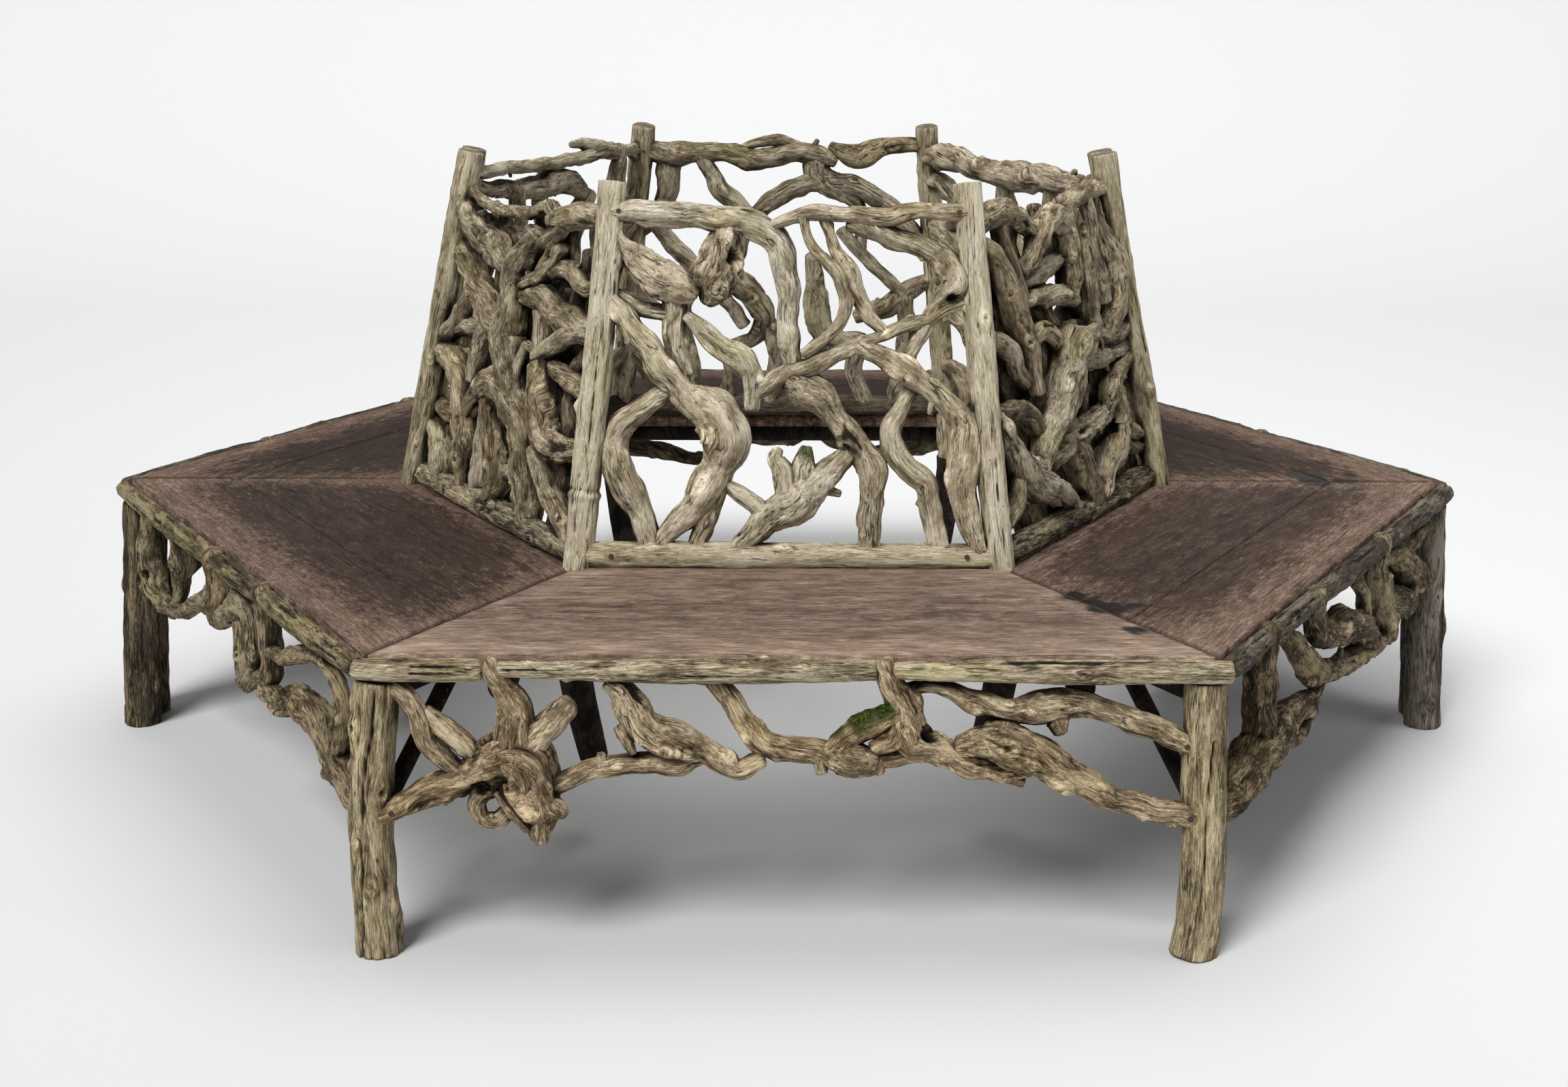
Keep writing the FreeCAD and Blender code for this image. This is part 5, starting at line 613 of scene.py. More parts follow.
def crowding(clouds, cell=9.0):
    """Returns a function that tells how shut in a place is, 0 in the open and 1 in a narrow gap; the materials paint
    shade by it.
    """
    points = np.vstack(clouds)
    low = points.min(0) - 60
    counts = np.ceil((points.max(0) + 60 - low) / cell).astype(int)
    grid = np.zeros(counts, np.float32)
    index = ((points - low) / cell).astype(int)
    filled = tuple(index.T)
    grid[filled] = 1.0
    for axis in range(3):
        total = grid.copy()
        for shift, share in ((1, 0.8), (2, 0.4), (3, 0.12)):
            total += share * (np.roll(grid, shift, axis) + np.roll(grid, -shift, axis))
        grid = total / 3.64
    level = np.quantile(grid[filled], 0.5)

    def shut_in(places):
        spot = np.clip((places - low) / cell - 0.5, 0, counts - 1.001)
        base = spot.astype(int)
        part = spot - base
        total = np.zeros(len(places))
        for corner in itertools.product((0, 1), repeat=3):
            weight = np.where(corner, part, 1 - part).prod(1)
            total += weight * grid[tuple(np.minimum(base + corner, counts - 1).T)]
        return np.clip((total / level - 0.75) * 1.3, 0, 1)

    return shut_in


def cap_rows(kind, radius):
    """Rings that close an end: share of the radius, and how far beyond the end they lie."""
    if kind == "sawn":
        return [(0.985, 0.03 * radius), (0.93, 0.06 * radius), (0.62, 0.06 * radius), (0.3, 0.06 * radius)]
    if kind == "flat":
        return [(0.9, 0.0), (0.5, 0.0)]
    return [(0.93, 0.16 * radius), (0.76, 0.3 * radius), (0.5, 0.38 * radius), (0.25, 0.4 * radius)]


def strayed(centre, radius, reach, rng):
    """Lets a route stray sideways and its radius vary, except at its ends."""
    run = travelled(centre)
    still = run * 0
    ease = np.minimum(1, np.minimum(run, run[-1] - run) / 30)
    walk = [noise(np.column_stack([run / 46, still + 9.1 * axis, still + rng.uniform(0, 99)])) for axis in range(3)]
    swelling = noise(np.column_stack([run / 38, still, still + rng.uniform(0, 99)]))
    return centre + reach * ease[:, None] * np.column_stack(walk), radius * (1 + 0.16 * ease * swelling)


def with_ends(centre, radius, heading, ends):
    """Adds the rings that close both ends, and gives every ring its share of the radius."""
    first, last = cap_rows(ends[0], radius[0]), cap_rows(ends[1], radius[-1])
    before = [centre[0] - heading[0] * beyond for share, beyond in reversed(first)]
    after = [centre[-1] + heading[-1] * beyond for share, beyond in last]
    shares = [share for share, beyond in reversed(first)] + [1] * len(radius) + [share for share, beyond in last]
    radius = np.concatenate([[radius[0]] * len(first), radius, [radius[-1]] * len(last)])
    heading = np.vstack([[heading[0]] * len(first), heading, [heading[-1]] * len(last)])
    return np.vstack(before + [centre] + after), radius, heading, np.array(shares)


def pressed(place, middle, depth):
    """Moves points of a surface towards the middle of their log."""
    inward = middle - place
    return place + inward / np.maximum(np.linalg.norm(inward, axis=1), 1)[:, None] * depth[:, None]


class Relief:
    """Bumps and painted shade in dents on one length of wood, at the points of its rings."""

    def __init__(self, s, r, angle, twist, rng):
        self.s = s
        self.r = r
        self.angle = angle
        self.rng = rng
        self.widest = r.max()
        self.offset = rng.uniform(0, 200, 3)
        self.wound = angle + twist * rng.choice([-1, 1]) * s
        self.ring = np.column_stack([np.cos(self.wound), np.sin(self.wound), np.zeros(len(s))])

    def at(self, spread, length):
        """Cells for noise that runs round the wood and is stretched along it."""
        cells = self.ring * spread
        cells[:, 2] = self.s / length
        return cells + self.offset

    def swollen(self, swell, flute):
        """Thickness as a share of the radius, with slow swellings and flutes."""
        shape = 1 + swell * layered(self.at(0.9, self.widest * 2.6), 2)
        shape += swell * 0.75 * noise(self.at(2.1, self.widest * 1.3))
        return shape + flute * (0.5 - 1.6 * np.abs(noise(self.at(1.15, 210))))

    def furrow(self, ridge):
        """Furrows, fibres and creases along the wood."""
        lean = np.clip(self.r / 20, 0.5, 1.5)
        girth = np.sqrt(self.widest / 18)
        furrows = layered(self.at(2.6 * girth, 70), 2)
        fibre = noise(self.at(6.5 * self.widest / 18, 45))
        crease = np.exp(-((noise(self.at(1.9 * girth, 95)) / 0.055) ** 2))
        crease *= np.clip(2.2 * noise(self.at(0.8, 60)) + 0.35, 0, 1)
        scale = ridge * np.minimum(1, self.r / 9)
        self.bumps = scale * (1.5 * lean * furrows + 0.7 * fibre - 2.3 * lean * crease)
        # Painted shade, darkest in creases and furrows
        self.recess_shade = 0.38 * (0.25 - furrows) - 0.22 * fibre + 1.15 * crease

    def gnarl(self, strength):
        """Lumps and ripples of old, twisted wood."""
        lumps = layered(self.at(1.7, self.widest * 0.9), 2)
        ripples = 0.5 - np.abs(layered(self.at(2.4, self.widest * 0.55), 3)) * 1.6
        self.bumps += strength * self.r * (0.20 * lumps + 0.17 * ripples)
        self.recess_shade += strength * (0.25 - 1.3 * ripples) * 0.6

    def flake(self, strength):
        """Flakes of bark."""
        flakes = layered(self.at(5, 26), 3)
        self.bumps += strength * 1.6 * flakes
        self.recess_shade -= strength * 0.6 * flakes

    def spot(self, margin, turn, sizes):
        """Picks a place and a size; also tells the way along and the turn from there to every point."""
        along_wood, facing = self.rng.uniform(margin, 1 - margin) * self.s[-1], self.rng.uniform(-turn, turn)
        size = self.rng.uniform(*sizes) * self.widest
        return size, self.s - along_wood, (self.angle - facing + math.pi) % (2 * math.pi) - math.pi

    def knot(self):
        """A knot that the grain runs round, at times with a hole in it."""
        size, run, bend = self.spot(0.08, math.pi, (0.3, 0.7))
        away = np.hypot(run / (size * 1.25), bend * self.r / size)
        height = self.rng.uniform(0.12, 0.32) * min(self.widest, 24)
        near = np.exp(-(away**2) * 1.8)
        self.bumps += height * near
        self.wound = self.wound - 0.9 * np.sin(bend) * np.exp(-(away**2))
        self.recess_shade += 0.55 * np.exp(-(((away - 0.95) / 0.22) ** 2)) - 0.25 * near
        if self.rng.random() < 0.5:
            dip = np.exp(-(away**2) * 16)
            self.bumps -= height * 1.5 * dip
            # Painted shade in the knot's hole
            self.recess_shade += 1.6 * dip

    def hollow(self):
        """A long rotted hollow with a lip."""
        size, run, bend = self.spot(0.12, 2.2, (0.16, 0.34))
        away = np.hypot(run / (size * self.rng.uniform(2.2, 4.5)), bend * self.r / size)
        away = away * (1 + 0.55 * layered(self.at(2.4, 11), 2))
        lip = np.exp(-(((away - 1.5) / 0.5) ** 2))
        dip = 1 / (1 + np.exp((away - 1) * 6))
        self.bumps += 0.08 * self.r * lip - 0.42 * self.r * dip
        # Painted shade in the hollow, a little lighter on its lip
        self.recess_shade += 1.7 * dip - 0.2 * lip
        self.wound = self.wound - 0.5 * np.sin(bend) * np.exp(-((away / 1.6) ** 2))

    def collar(self, spot, height):
        """A raised ring round the wood."""
        away = (self.s - spot + 2 * noise(self.at(1.2, 40))) / 5
        groove = np.exp(-((away - 1.7) ** 2) * 3)
        self.bumps += height * (np.exp(-(away**2)) - 0.5 * groove)
        # Painted shade in the groove beside the collar
        self.recess_shade += 0.9 * groove


def pit_depth(place, centre, reach):
    """How far a ragged pit goes in at points of a surface, 0 outside it and 1 in its middle."""
    away = np.linalg.norm(place - centre, axis=1) / reach
    ragged = away * (1 + 0.25 * noise(place / (reach * 0.6)))
    return np.clip(1.25 - ragged, 0, 1) ** 0.6 * (ragged < 1.25)


def crack_depth(place, smooth, line, width):
    """How far a crack along a line goes in at points of a surface, 0 to 1."""
    gap = np.full(len(place), 1e9)
    for one, other in zip(line, line[1:]):
        run = other - one
        share = np.clip(((smooth - one) @ run) / (run @ run), 0, 1)
        gap = np.minimum(gap, np.linalg.norm(smooth - one - share[:, None] * run, axis=1))
    return np.clip(1 - (gap + 0.8 * noise(place / (9, 9, 26))) / width, 0, 1)


def moss_cover(place, patches):
    """How much moss grows at points of a surface."""
    green = np.zeros(len(place))
    for centre, reach, strength in patches:
        away = np.linalg.norm(place - centre, axis=1) / reach
        patch = np.clip(1.3 - away * (1 + 0.35 * noise(place / 14)), 0, 1) * strength
        green = np.maximum(green, patch)
    return green


def wood_tube(
    wood, points, radii, steady, rng, step=4.6, facet=3.8, gnarl=0.0, ridge=1.0, knots=1.0, twist=0.004,
    ends=("broken", "broken"), pits=(), moss=(), tone=None, swell=0.07, bark=0.0, flute=0.1, hollows=0.0,
    wander=0.0, cracks=(), collars=(),
):
    """Adds one round, grained, knotty length of wood along a route."""
    centre, radius = smooth_route(np.array(points, float), np.array(radii, float), step)
    if wander:
        centre, radius = strayed(centre, radius, wander, rng)
    heading = np.gradient(centre, axis=0)
    heading /= np.linalg.norm(heading, axis=1)[:, None]
    widest = radius.max()
    around = int(np.clip(round(2 * math.pi * widest / facet), 14, 52))
    centre, radius, heading, shares = with_ends(centre, radius, heading, ends)
    side = steady - heading * (heading @ steady)[:, None]
    side /= np.linalg.norm(side, axis=1)[:, None]
    rise = np.cross(heading, side)
    travel = travelled(centre)
    rows = len(centre)
    row = np.repeat(np.arange(rows), around)
    angle = np.tile(np.linspace(0, 2 * math.pi, around, endpoint=False), rows)
    s, r = travel[row], radius[row]

    relief = Relief(s, r, angle, twist, rng)
    relief.furrow(ridge)
    if gnarl:
        relief.gnarl(gnarl)
    if bark:
        relief.flake(bark)
    for _ in range(rng.poisson(knots * travel[-1] / 115 * (1 + 2 * gnarl))):
        relief.knot()
    for _ in range(rng.poisson(hollows * travel[-1] / 260) if widest > 13 else 0):
        relief.hollow()
    for spot, height in collars:
        relief.collar(spot, height)

    spread = (r * relief.swollen(swell, flute) + relief.bumps) * shares[row]
    splinters = (shares[row] < 1) * r * 0.12 * noise(relief.at(1.6, widest * 0.5))
    middle = centre[row]
    place = middle + side[row] * (np.cos(angle) * spread)[:, None] + rise[row] * (np.sin(angle) * spread)[:, None]
    place += heading[row] * (splinters * (1 if ends[0] == ends[1] == "broken" else 0.3))[:, None]
    recess_shade = relief.recess_shade
    for centre_of_pit, reach, depth in pits:
        dip = pit_depth(place, centre_of_pit, reach)
        place = pressed(place, middle, depth * dip)
        # Painted shade in the pit
        recess_shade = recess_shade + 2.4 * dip
    away_from_middle = side[row] * np.cos(angle)[:, None] + rise[row] * np.sin(angle)[:, None]
    smooth = middle + away_from_middle * r[:, None]
    for line, width, depth in cracks:
        split = crack_depth(place, smooth, line, width)
        place = pressed(place, middle, depth * split**0.7)
        # Painted shade in the crack
        recess_shade = recess_shade + 2.6 * split
    green = moss_cover(place, moss)
    if green.any():
        growth = np.clip(green, 0, 1) * (2.4 + 2.2 * noise(place / 5.5))
        place = place + away_from_middle * growth[:, None]

    wound = relief.wound
    grain = np.column_stack([np.cos(wound) * r, np.sin(wound) * r, s])
    grain = np.vstack([grain, [(0, 0, 0), (0, 0, travel[-1])]]) + relief.offset * 10
    sawn = (shares[row] < 0.94) * (1.0 if "sawn" in ends else 0.25)
    look = np.column_stack([recess_shade, green, sawn])
    look = np.vstack([look, look[[0, -1]]])
    if tone is None:
        tone = rng.uniform(-1, 1), rng.uniform(0, 1), rng.uniform(0, 1)
    place = np.vstack([place, centre[[0, -1]]])
    wood.add(place, *skin(rows, around), grain * 0.001, look, np.tile(tone, (len(look), 1)))


def spread_along(levels, places, wanted):
    """Places at wanted levels, between places whose levels are known."""
    return np.column_stack([np.interp(wanted, levels, column) for column in np.transpose(places)])


def long_cracks(points, radii, facing, count, rng, width, depth=6):
    """Drying cracks that run along a log, around the side that faces outward."""
    rows = []
    run = points[-1] - points[0]
    run = run / np.linalg.norm(run)
    facing = facing - run * (facing @ run)
    facing = facing / np.linalg.norm(facing)
    across = np.cross(run, facing)
    for _ in range(count):
        turn = rng.uniform(-1.4, 1.4)
        start = rng.uniform(0.0, 0.6)
        end = start + rng.uniform(0.2, 0.4)
        line = []
        for share in np.linspace(start, min(end, 1), 7):
            place = spread_along(np.linspace(0, 1, len(points)), points, [share])[0]
            radius = np.interp(share, np.linspace(0, 1, len(radii)), radii)
            turn += rng.uniform(-0.07, 0.07)
            line.append(place + (facing * math.cos(turn) + across * math.sin(turn)) * radius)
        rows.append((line, width * rng.uniform(0.6, 1.2), depth * rng.uniform(0.5, 1)))
    return rows


# Materials


class Graph:
    """A material's node tree, with short names for the nodes that the materials use."""

    def __init__(self, name):
        self.material = bpy.data.materials.new(name)
        self.material.use_nodes = True
        self.tree = self.material.node_tree
        self.tree.nodes.clear()
        output = self.tree.nodes.new("ShaderNodeOutputMaterial")
        self.shader = self.tree.nodes.new("ShaderNodeBsdfPrincipled")
        self.link(self.shader.outputs[0], output.inputs["Surface"])

    def link(self, source, target):
        self.tree.links.new(source, target)

    def feed(self, socket, value):
        """Sets a socket to a number or a colour, or links an output to it."""
        if isinstance(value, (int, float)):
            socket.default_value = value
        elif isinstance(value, tuple):
            socket.default_value = (*value, 1)
        else:
            self.link(value, socket)

    def node(self, kind, **settings):
        item = self.tree.nodes.new(kind)
        for key, setting in settings.items():
            item.inputs[key.replace("_", " ")].default_value = setting
        return item

    def attribute(self, name):
        item = self.node("ShaderNodeAttribute")
        item.attribute_name = name
        return item.outputs["Vector"]

    def parts(self, name):
        """The three numbers of an attribute."""
        vector = self.attribute(name)
        item = self.node("ShaderNodeSeparateXYZ")
        self.link(vector, item.inputs[0])
        return item.outputs

    def noise(self, vector, scale, detail, roughness=0.5):
        """Noise that is stretched by its own scale along each axis."""
        mapping = self.node("ShaderNodeMapping", Scale=scale)
        self.link(vector, mapping.inputs["Vector"])
        item = self.node("ShaderNodeTexNoise", Scale=1.0, Detail=detail, Roughness=roughness)
        self.link(mapping.outputs["Vector"], item.inputs["Vector"])
        return item.outputs["Fac"]

    def ramp(self, value, stops):
        item = self.node("ShaderNodeValToRGB")
        elements = item.color_ramp.elements
        while len(elements) < len(stops):
            elements.new(0.5)
        for element, (position, colour) in zip(elements, stops):
            element.position = position
            element.color = (*colour, 1)
        self.link(value, item.inputs["Fac"])
        return item.outputs["Color"]

    def calc(self, operation, *values, clamp=False):
        item = self.node("ShaderNodeMath")
        item.operation = operation
        item.use_clamp = clamp
        for socket, value in zip(item.inputs, values):
            self.feed(socket, value)
        return item.outputs[0]

    def add(self, one, other):
        return self.calc("ADD", one, other)

    def minus(self, one, other, clamp=False):
        return self.calc("SUBTRACT", one, other, clamp=clamp)

    def times(self, one, other):
        return self.calc("MULTIPLY", one, other)

    def fit(self, value, factor, shift, clamp=False):
        return self.calc("MULTIPLY_ADD", value, factor, shift, clamp=clamp)

    def mix(self, share, one, other, blend="MIX"):
        item = self.node("ShaderNodeMix")
        item.data_type = "RGBA"
        item.blend_type = blend
        item.clamp_factor = True
        for index, value in ((0, share), (6, one), (7, other)):
            self.feed(item.inputs[index], value)
        return item.outputs[2]

    def tinted(self, share, colour, tint):
        """A colour that is multiplied by a tint, as far as the share says."""
        return self.mix(share, colour, self.mix(1.0, colour, tint, "MULTIPLY"))

    def dress(self, colour, rough, specular, height, strength, distance):
        """Joins colour, roughness and relief to the shader."""
        self.link(colour, self.shader.inputs["Base Color"])
        self.link(rough, self.shader.inputs["Roughness"])
        self.shader.inputs["Specular IOR Level"].default_value = specular
        bump = self.node("ShaderNodeBump", Strength=strength, Distance=distance)
        self.link(height, bump.inputs["Height"])
        self.link(bump.outputs[0], self.shader.inputs["Normal"])
        return self.material


OLIVE = (0.86, 0.90, 0.48)
BLACK = (0.018, 0.013, 0.009)


def driftwood(name, middle, light, olive_share, bark_share=0.0, contrast=1.0, length=17, dark=BLACK):
    """Weathered round wood: fibres along the grain, cracks, worm holes, algae and moss, with painted shade in
    recesses, cracks, worm holes and narrow gaps.
    """
    graph = Graph(name)
    grain = graph.attribute("grain")
    recess_shade, moss, sawn = graph.parts("look")
    value, algae, warm = graph.parts("tone")
    gap_shade = graph.parts("gap_shade")[0]
    fibre = graph.noise(grain, (720, 720, 52), 5.0, 0.72)
    strand = graph.noise(grain, (250, 250, 26), 5.0, 0.7)
    patch = graph.noise(grain, (36, 36, length), 7.0, 0.72)
    seam = graph.calc("ABSOLUTE", graph.minus(strand, 0.5))
    seam = graph.minus(1.0, graph.times(seam, 26.0), clamp=True)
    split = graph.noise(grain, (92, 92, 5.5), 2.0, 0.5)
    crack = graph.calc("ABSOLUTE", graph.minus(split, 0.52))
    crack = graph.minus(1.0, graph.times(crack, 42.0), clamp=True)
    gate = graph.noise(grain, (27, 27, 17), 3.0)
    crack = graph.times(crack, graph.fit(gate, 14.0, -6.9, clamp=True))
    total = graph.fit(fibre, 1.35 * contrast, -0.675 * contrast)
    total = graph.add(total, graph.fit(strand, 0.6 * contrast, -0.3 * contrast))
    total = graph.add(total, graph.fit(patch, 1.7 * contrast, -0.85 * contrast))
    total = graph.minus(total, graph.times(seam, 0.16 * contrast))
    # Painted shade in recesses darkens the tone
    total = graph.add(total, graph.times(recess_shade, -0.22))
    total = graph.add(total, graph.times(value, 0.1))
    # Painted shade in narrow gaps darkens the tone
    total = graph.add(total, graph.times(gap_shade, -0.6))
    total = graph.add(total, 0.72)
    shaded = tuple((low + high) / 2.2 for low, high in zip(dark, middle))
    colour = graph.ramp(total, [(0.08, dark), (0.34, shaded), (0.55, middle), (0.92, light)])
    warmth = graph.times(warm, 0.45)
    colour = graph.tinted(warmth, colour, (1.0, 0.86, 0.70))
    film = graph.noise(grain, (13, 13, 8), 5.0, 0.7)
    film = graph.fit(film, 5.0, -2.35, clamp=True)
    film = graph.times(film, graph.times(algae, olive_share))
    colour = graph.tinted(film, colour, OLIVE)
    if bark_share:
        shred = graph.noise(grain, (38, 38, 12), 4.0, 0.65)
        shred = graph.fit(shred, 12.0, -12.0 * (0.62 - 0.3 * bark_share), clamp=True)
        bark_colour = graph.ramp(fibre, [(0.3, (0.030, 0.022, 0.016)), (0.75, (0.115, 0.088, 0.058))])
        colour = graph.mix(graph.times(shred, 0.85), colour, bark_colour)
    lichen = graph.noise(grain, (120, 120, 60), 5.0, 0.78)
    pale = graph.fit(lichen, 22.0, -14.2, clamp=True)
    colour = graph.mix(graph.times(pale, 0.6), colour, (0.56, 0.53, 0.43))
    fleck = graph.fit(lichen, -20.0, 7.3, clamp=True)
    colour = graph.mix(graph.times(fleck, 0.75), colour, (0.035, 0.025, 0.016))
    holes = graph.node("ShaderNodeTexVoronoi", Scale=38.0, Randomness=1.0)
    graph.link(grain, holes.inputs["Vector"])
    worm = graph.calc("LESS_THAN", holes.outputs["Distance"], 0.045)
    shade = graph.calc("MAXIMUM", crack, worm)
    # Painted shade, near black, in cracks and worm holes
    colour = graph.mix(graph.times(shade, 0.9), colour, (0.010, 0.008, 0.005))
    # Painted shade in narrow gaps, as a brown tint
    closed = graph.times(gap_shade, 0.62)
    colour = graph.tinted(closed, colour, (0.30, 0.25, 0.20))
    # Near-black painted shade in the deepest recesses
    deep_shade = graph.fit(recess_shade, 1.2, -0.95, clamp=True)
    colour = graph.mix(graph.times(deep_shade, 0.85), colour, (0.014, 0.011, 0.008))
    rings = graph.node("ShaderNodeTexWave", Scale=110.0, Distortion=3.0, Detail=2.0, Detail_Scale=2.0)
    rings.wave_type = "RINGS"
    rings.rings_direction = "Z"
    graph.link(grain, rings.inputs["Vector"])
    end_colour = graph.ramp(rings.outputs["Fac"], [(0.0, (0.10, 0.072, 0.047)), (1.0, (0.30, 0.235, 0.165))])
    colour = graph.mix(graph.times(sawn, 0.8), colour, end_colour)
    tuft = graph.noise(grain, (240, 240, 240), 6.0, 0.8)
    greens = [(0.38, (0.006, 0.009, 0.003)), (0.5, (0.048, 0.082, 0.010)), (0.64, (0.26, 0.33, 0.055))]
    moss_colour = graph.ramp(tuft, greens)
    cover = graph.fit(tuft, 2.6, graph.fit(moss, 2.4, -2.0), clamp=True)
    colour = graph.mix(cover, colour, moss_colour)
    rough = graph.fit(fibre, 0.2, 0.76)
    height = graph.fit(fibre, 1.0, graph.times(strand, 1.3))
    height = graph.add(height, graph.times(patch, 1.6))
    height = graph.minus(height, graph.times(seam, 0.16))
    height = graph.minus(height, graph.times(shade, 1.3))
    height = graph.add(height, graph.times(graph.times(cover, tuft), 2.5))
    return graph.dress(colour, rough, 0.18, height, 1.0, 0.0038)


def board_wood(name):
    """Old seat boards: reddish brown, dark where water stands, pale where they are worn; painted shade darkens
    grooves, cracks and whole sections.
    """
    graph = Graph(name)
    grain = graph.attribute("grain")
    recess_shade, wet, pale = graph.parts("look")
    value, middle, rust = graph.parts("tone")
    fibre = graph.noise(grain, (44, 680, 160), 6.0, 0.74)
    strand = graph.noise(grain, (16, 210, 60), 5.0, 0.7)
    flow = graph.noise(grain, (11, 30, 10), 9.0, 0.78)
    total = graph.fit(fibre, 1.5, -0.75)
    total = graph.add(total, graph.fit(strand, 0.9, -0.45))
    total = graph.add(total, graph.fit(flow, 1.1, -0.55))
    total = graph.add(total, graph.times(pale, 0.17))
    # Painted shade in grooves, at board ends and along edges darkens the tone
    total = graph.add(total, graph.times(recess_shade, -0.22))
    total = graph.add(total, 0.5)
    browns = [
        (0.05, (0.018, 0.013, 0.010)), (0.38, (0.105, 0.071, 0.051)),
        (0.66, (0.236, 0.163, 0.119)), (0.95, (0.46, 0.355, 0.268)),
    ]
    colour = graph.ramp(total, browns)
    blot = graph.noise(grain, (17, 38, 9), 9.0, 0.82)
    blot = graph.add(blot, graph.fit(middle, 0.16, -0.13))
    blot = graph.fit(blot, 11.0, -5.35, clamp=True)
    fleck = graph.noise(grain, (70, 240, 60), 4.0, 0.7)
    fleck = graph.fit(fleck, 7.0, -3.1, clamp=True)
    blot = graph.times(graph.times(blot, graph.fit(fleck, 0.7, 0.3)), 0.8)
    colour = graph.mix(blot, colour, (0.034, 0.025, 0.021))
    fade = graph.noise(grain, (6, 12, 12), 4.0)
    fade = graph.fit(fade, 3.0, -1.35, clamp=True)
    colour = graph.tinted(graph.times(fade, 0.3), colour, (0.86, 0.95, 1.06))
    mottle = graph.noise(grain, (34, 74, 28), 8.0, 0.84)
    # Damp blotches and painted shade, as strong as the section's darkening
    damp_and_shade = graph.fit(mottle, 13.0, graph.fit(pale, -3.4, -4.7), clamp=True)
    damp_and_shade = graph.times(damp_and_shade, graph.times(value, 1.3))
    # Painted shade over the whole section
    colour = graph.tinted(graph.times(value, 0.8), colour, (0.36, 0.27, 0.225))
    colour = graph.tinted(damp_and_shade, colour, (0.26, 0.22, 0.21))
    grit = graph.noise(grain, (90, 270, 90), 4.0, 0.8)
    grit = graph.fit(grit, 7.0, -3.2, clamp=True)
    colour = graph.mix(graph.times(grit, graph.fit(value, 0.7, 0.12)), colour, (0.022, 0.016, 0.013))
    colour = graph.mix(rust, colour, (0.40, 0.13, 0.04))
    split = graph.noise(grain, (1.7, 44, 20), 2.0, 0.4)
    crack = graph.calc("ABSOLUTE", graph.minus(split, 0.55))
    crack = graph.minus(1.0, graph.times(crack, 120.0), clamp=True)
    gate = graph.noise(grain, (4, 9, 9), 2.0)
    crack = graph.times(crack, graph.fit(gate, 9.0, -4.6, clamp=True))
    # Painted shade, near black, in the cracks
    colour = graph.mix(graph.times(crack, 0.8), colour, (0.012, 0.009, 0.007))
    colour = graph.mix(wet, colour, (0.008, 0.005, 0.004))
    crumb = graph.noise(grain, (260, 260, 260), 2.0)
    crumb = graph.fit(crumb, 20.0, -13.2, clamp=True)
    colour = graph.mix(graph.times(crumb, 0.12), colour, (0.42, 0.36, 0.29))
    rough = graph.minus(graph.fit(fibre, 0.2, 0.76), graph.times(wet, 0.35))
    height = graph.add(graph.times(fibre, 0.8), graph.times(strand, 0.9))
    height = graph.minus(height, graph.times(crack, 1.6))
    return graph.dress(colour, rough, 0.14, height, 0.9, 0.0018)


def rusty_iron(name):
    """Dark iron of nails and screws, with brown rust."""
    graph = Graph(name)
    place = graph.node("ShaderNodeTexCoord").outputs["Object"]
    grit = graph.noise(place, (420, 420, 420), 5.0, 0.7)
    rust = [(0.3, (0.018, 0.013, 0.011)), (0.55, (0.060, 0.032, 0.020)), (0.8, (0.155, 0.070, 0.032))]
    colour = graph.ramp(grit, rust)
    graph.feed(graph.shader.inputs["Metallic"], 0.35)
    return graph.dress(colour, graph.fit(grit, 0.4, 0.5), 0.5, grit, 0.6, 0.0008)


back_wood = driftwood("driftwood_pale", (0.43, 0.358, 0.235), (0.90, 0.82, 0.68), 0.7)
side_wood = driftwood("driftwood_side", (0.220, 0.170, 0.106), (0.66, 0.58, 0.43), 0.7)
rear_wood = driftwood("driftwood_rear", (0.220, 0.174, 0.114), (0.64, 0.57, 0.44), 0.8)
apron_wood = driftwood("driftwood_apron", (0.270, 0.196, 0.112), (0.84, 0.70, 0.49), 0.5, contrast=1.1)
side_apron_wood = driftwood("driftwood_apron_side", (0.105, 0.078, 0.045), (0.46, 0.375, 0.24), 0.5, contrast=1.3)
post_wood = driftwood("driftwood_post", (0.58, 0.495, 0.332), (0.88, 0.81, 0.66), 0.5, length=8)
side_post_wood = driftwood("driftwood_side_post", (0.34, 0.282, 0.170), (0.76, 0.68, 0.49), 0.7, length=8)
leg_wood = driftwood("log_leg", (0.232, 0.175, 0.100), (0.72, 0.61, 0.40), 0.6, length=5)
dark_leg_wood = driftwood("log_leg_dark", (0.022, 0.017, 0.011), (0.30, 0.235, 0.14), 0.6, 0.3, length=6)
grey_leg_wood = driftwood(
    "log_leg_grey", (0.120, 0.098, 0.080), (0.34, 0.295, 0.25), 0.3, 0.1, contrast=1.3, length=6,
)
pole_wood = driftwood("log_pole", (0.300, 0.236, 0.145), (0.76, 0.66, 0.47), 0.6, contrast=1.3, length=6)
side_pole_wood = driftwood(
    "log_pole_side", (0.105, 0.080, 0.042), (0.38, 0.315, 0.185), 0.8, 0.1, contrast=1.2, length=8,
)
dark_pole_wood = driftwood(
    "log_pole_dark", (0.062, 0.049, 0.037), (0.24, 0.20, 0.15), 0.5, 0.3, contrast=1.2, length=8,
)
frame_wood = driftwood(
    "log_frame", (0.020, 0.016, 0.012), (0.070, 0.057, 0.042), 0.3, 0.5, dark=(0.006, 0.005, 0.004),
)
dark_rail_wood = driftwood("driftwood_shaded", (0.062, 0.047, 0.034), (0.20, 0.165, 0.12), 0.5)
boards = board_wood("seat_boards")
iron = rusty_iron("rusty_iron")

# Seat boards

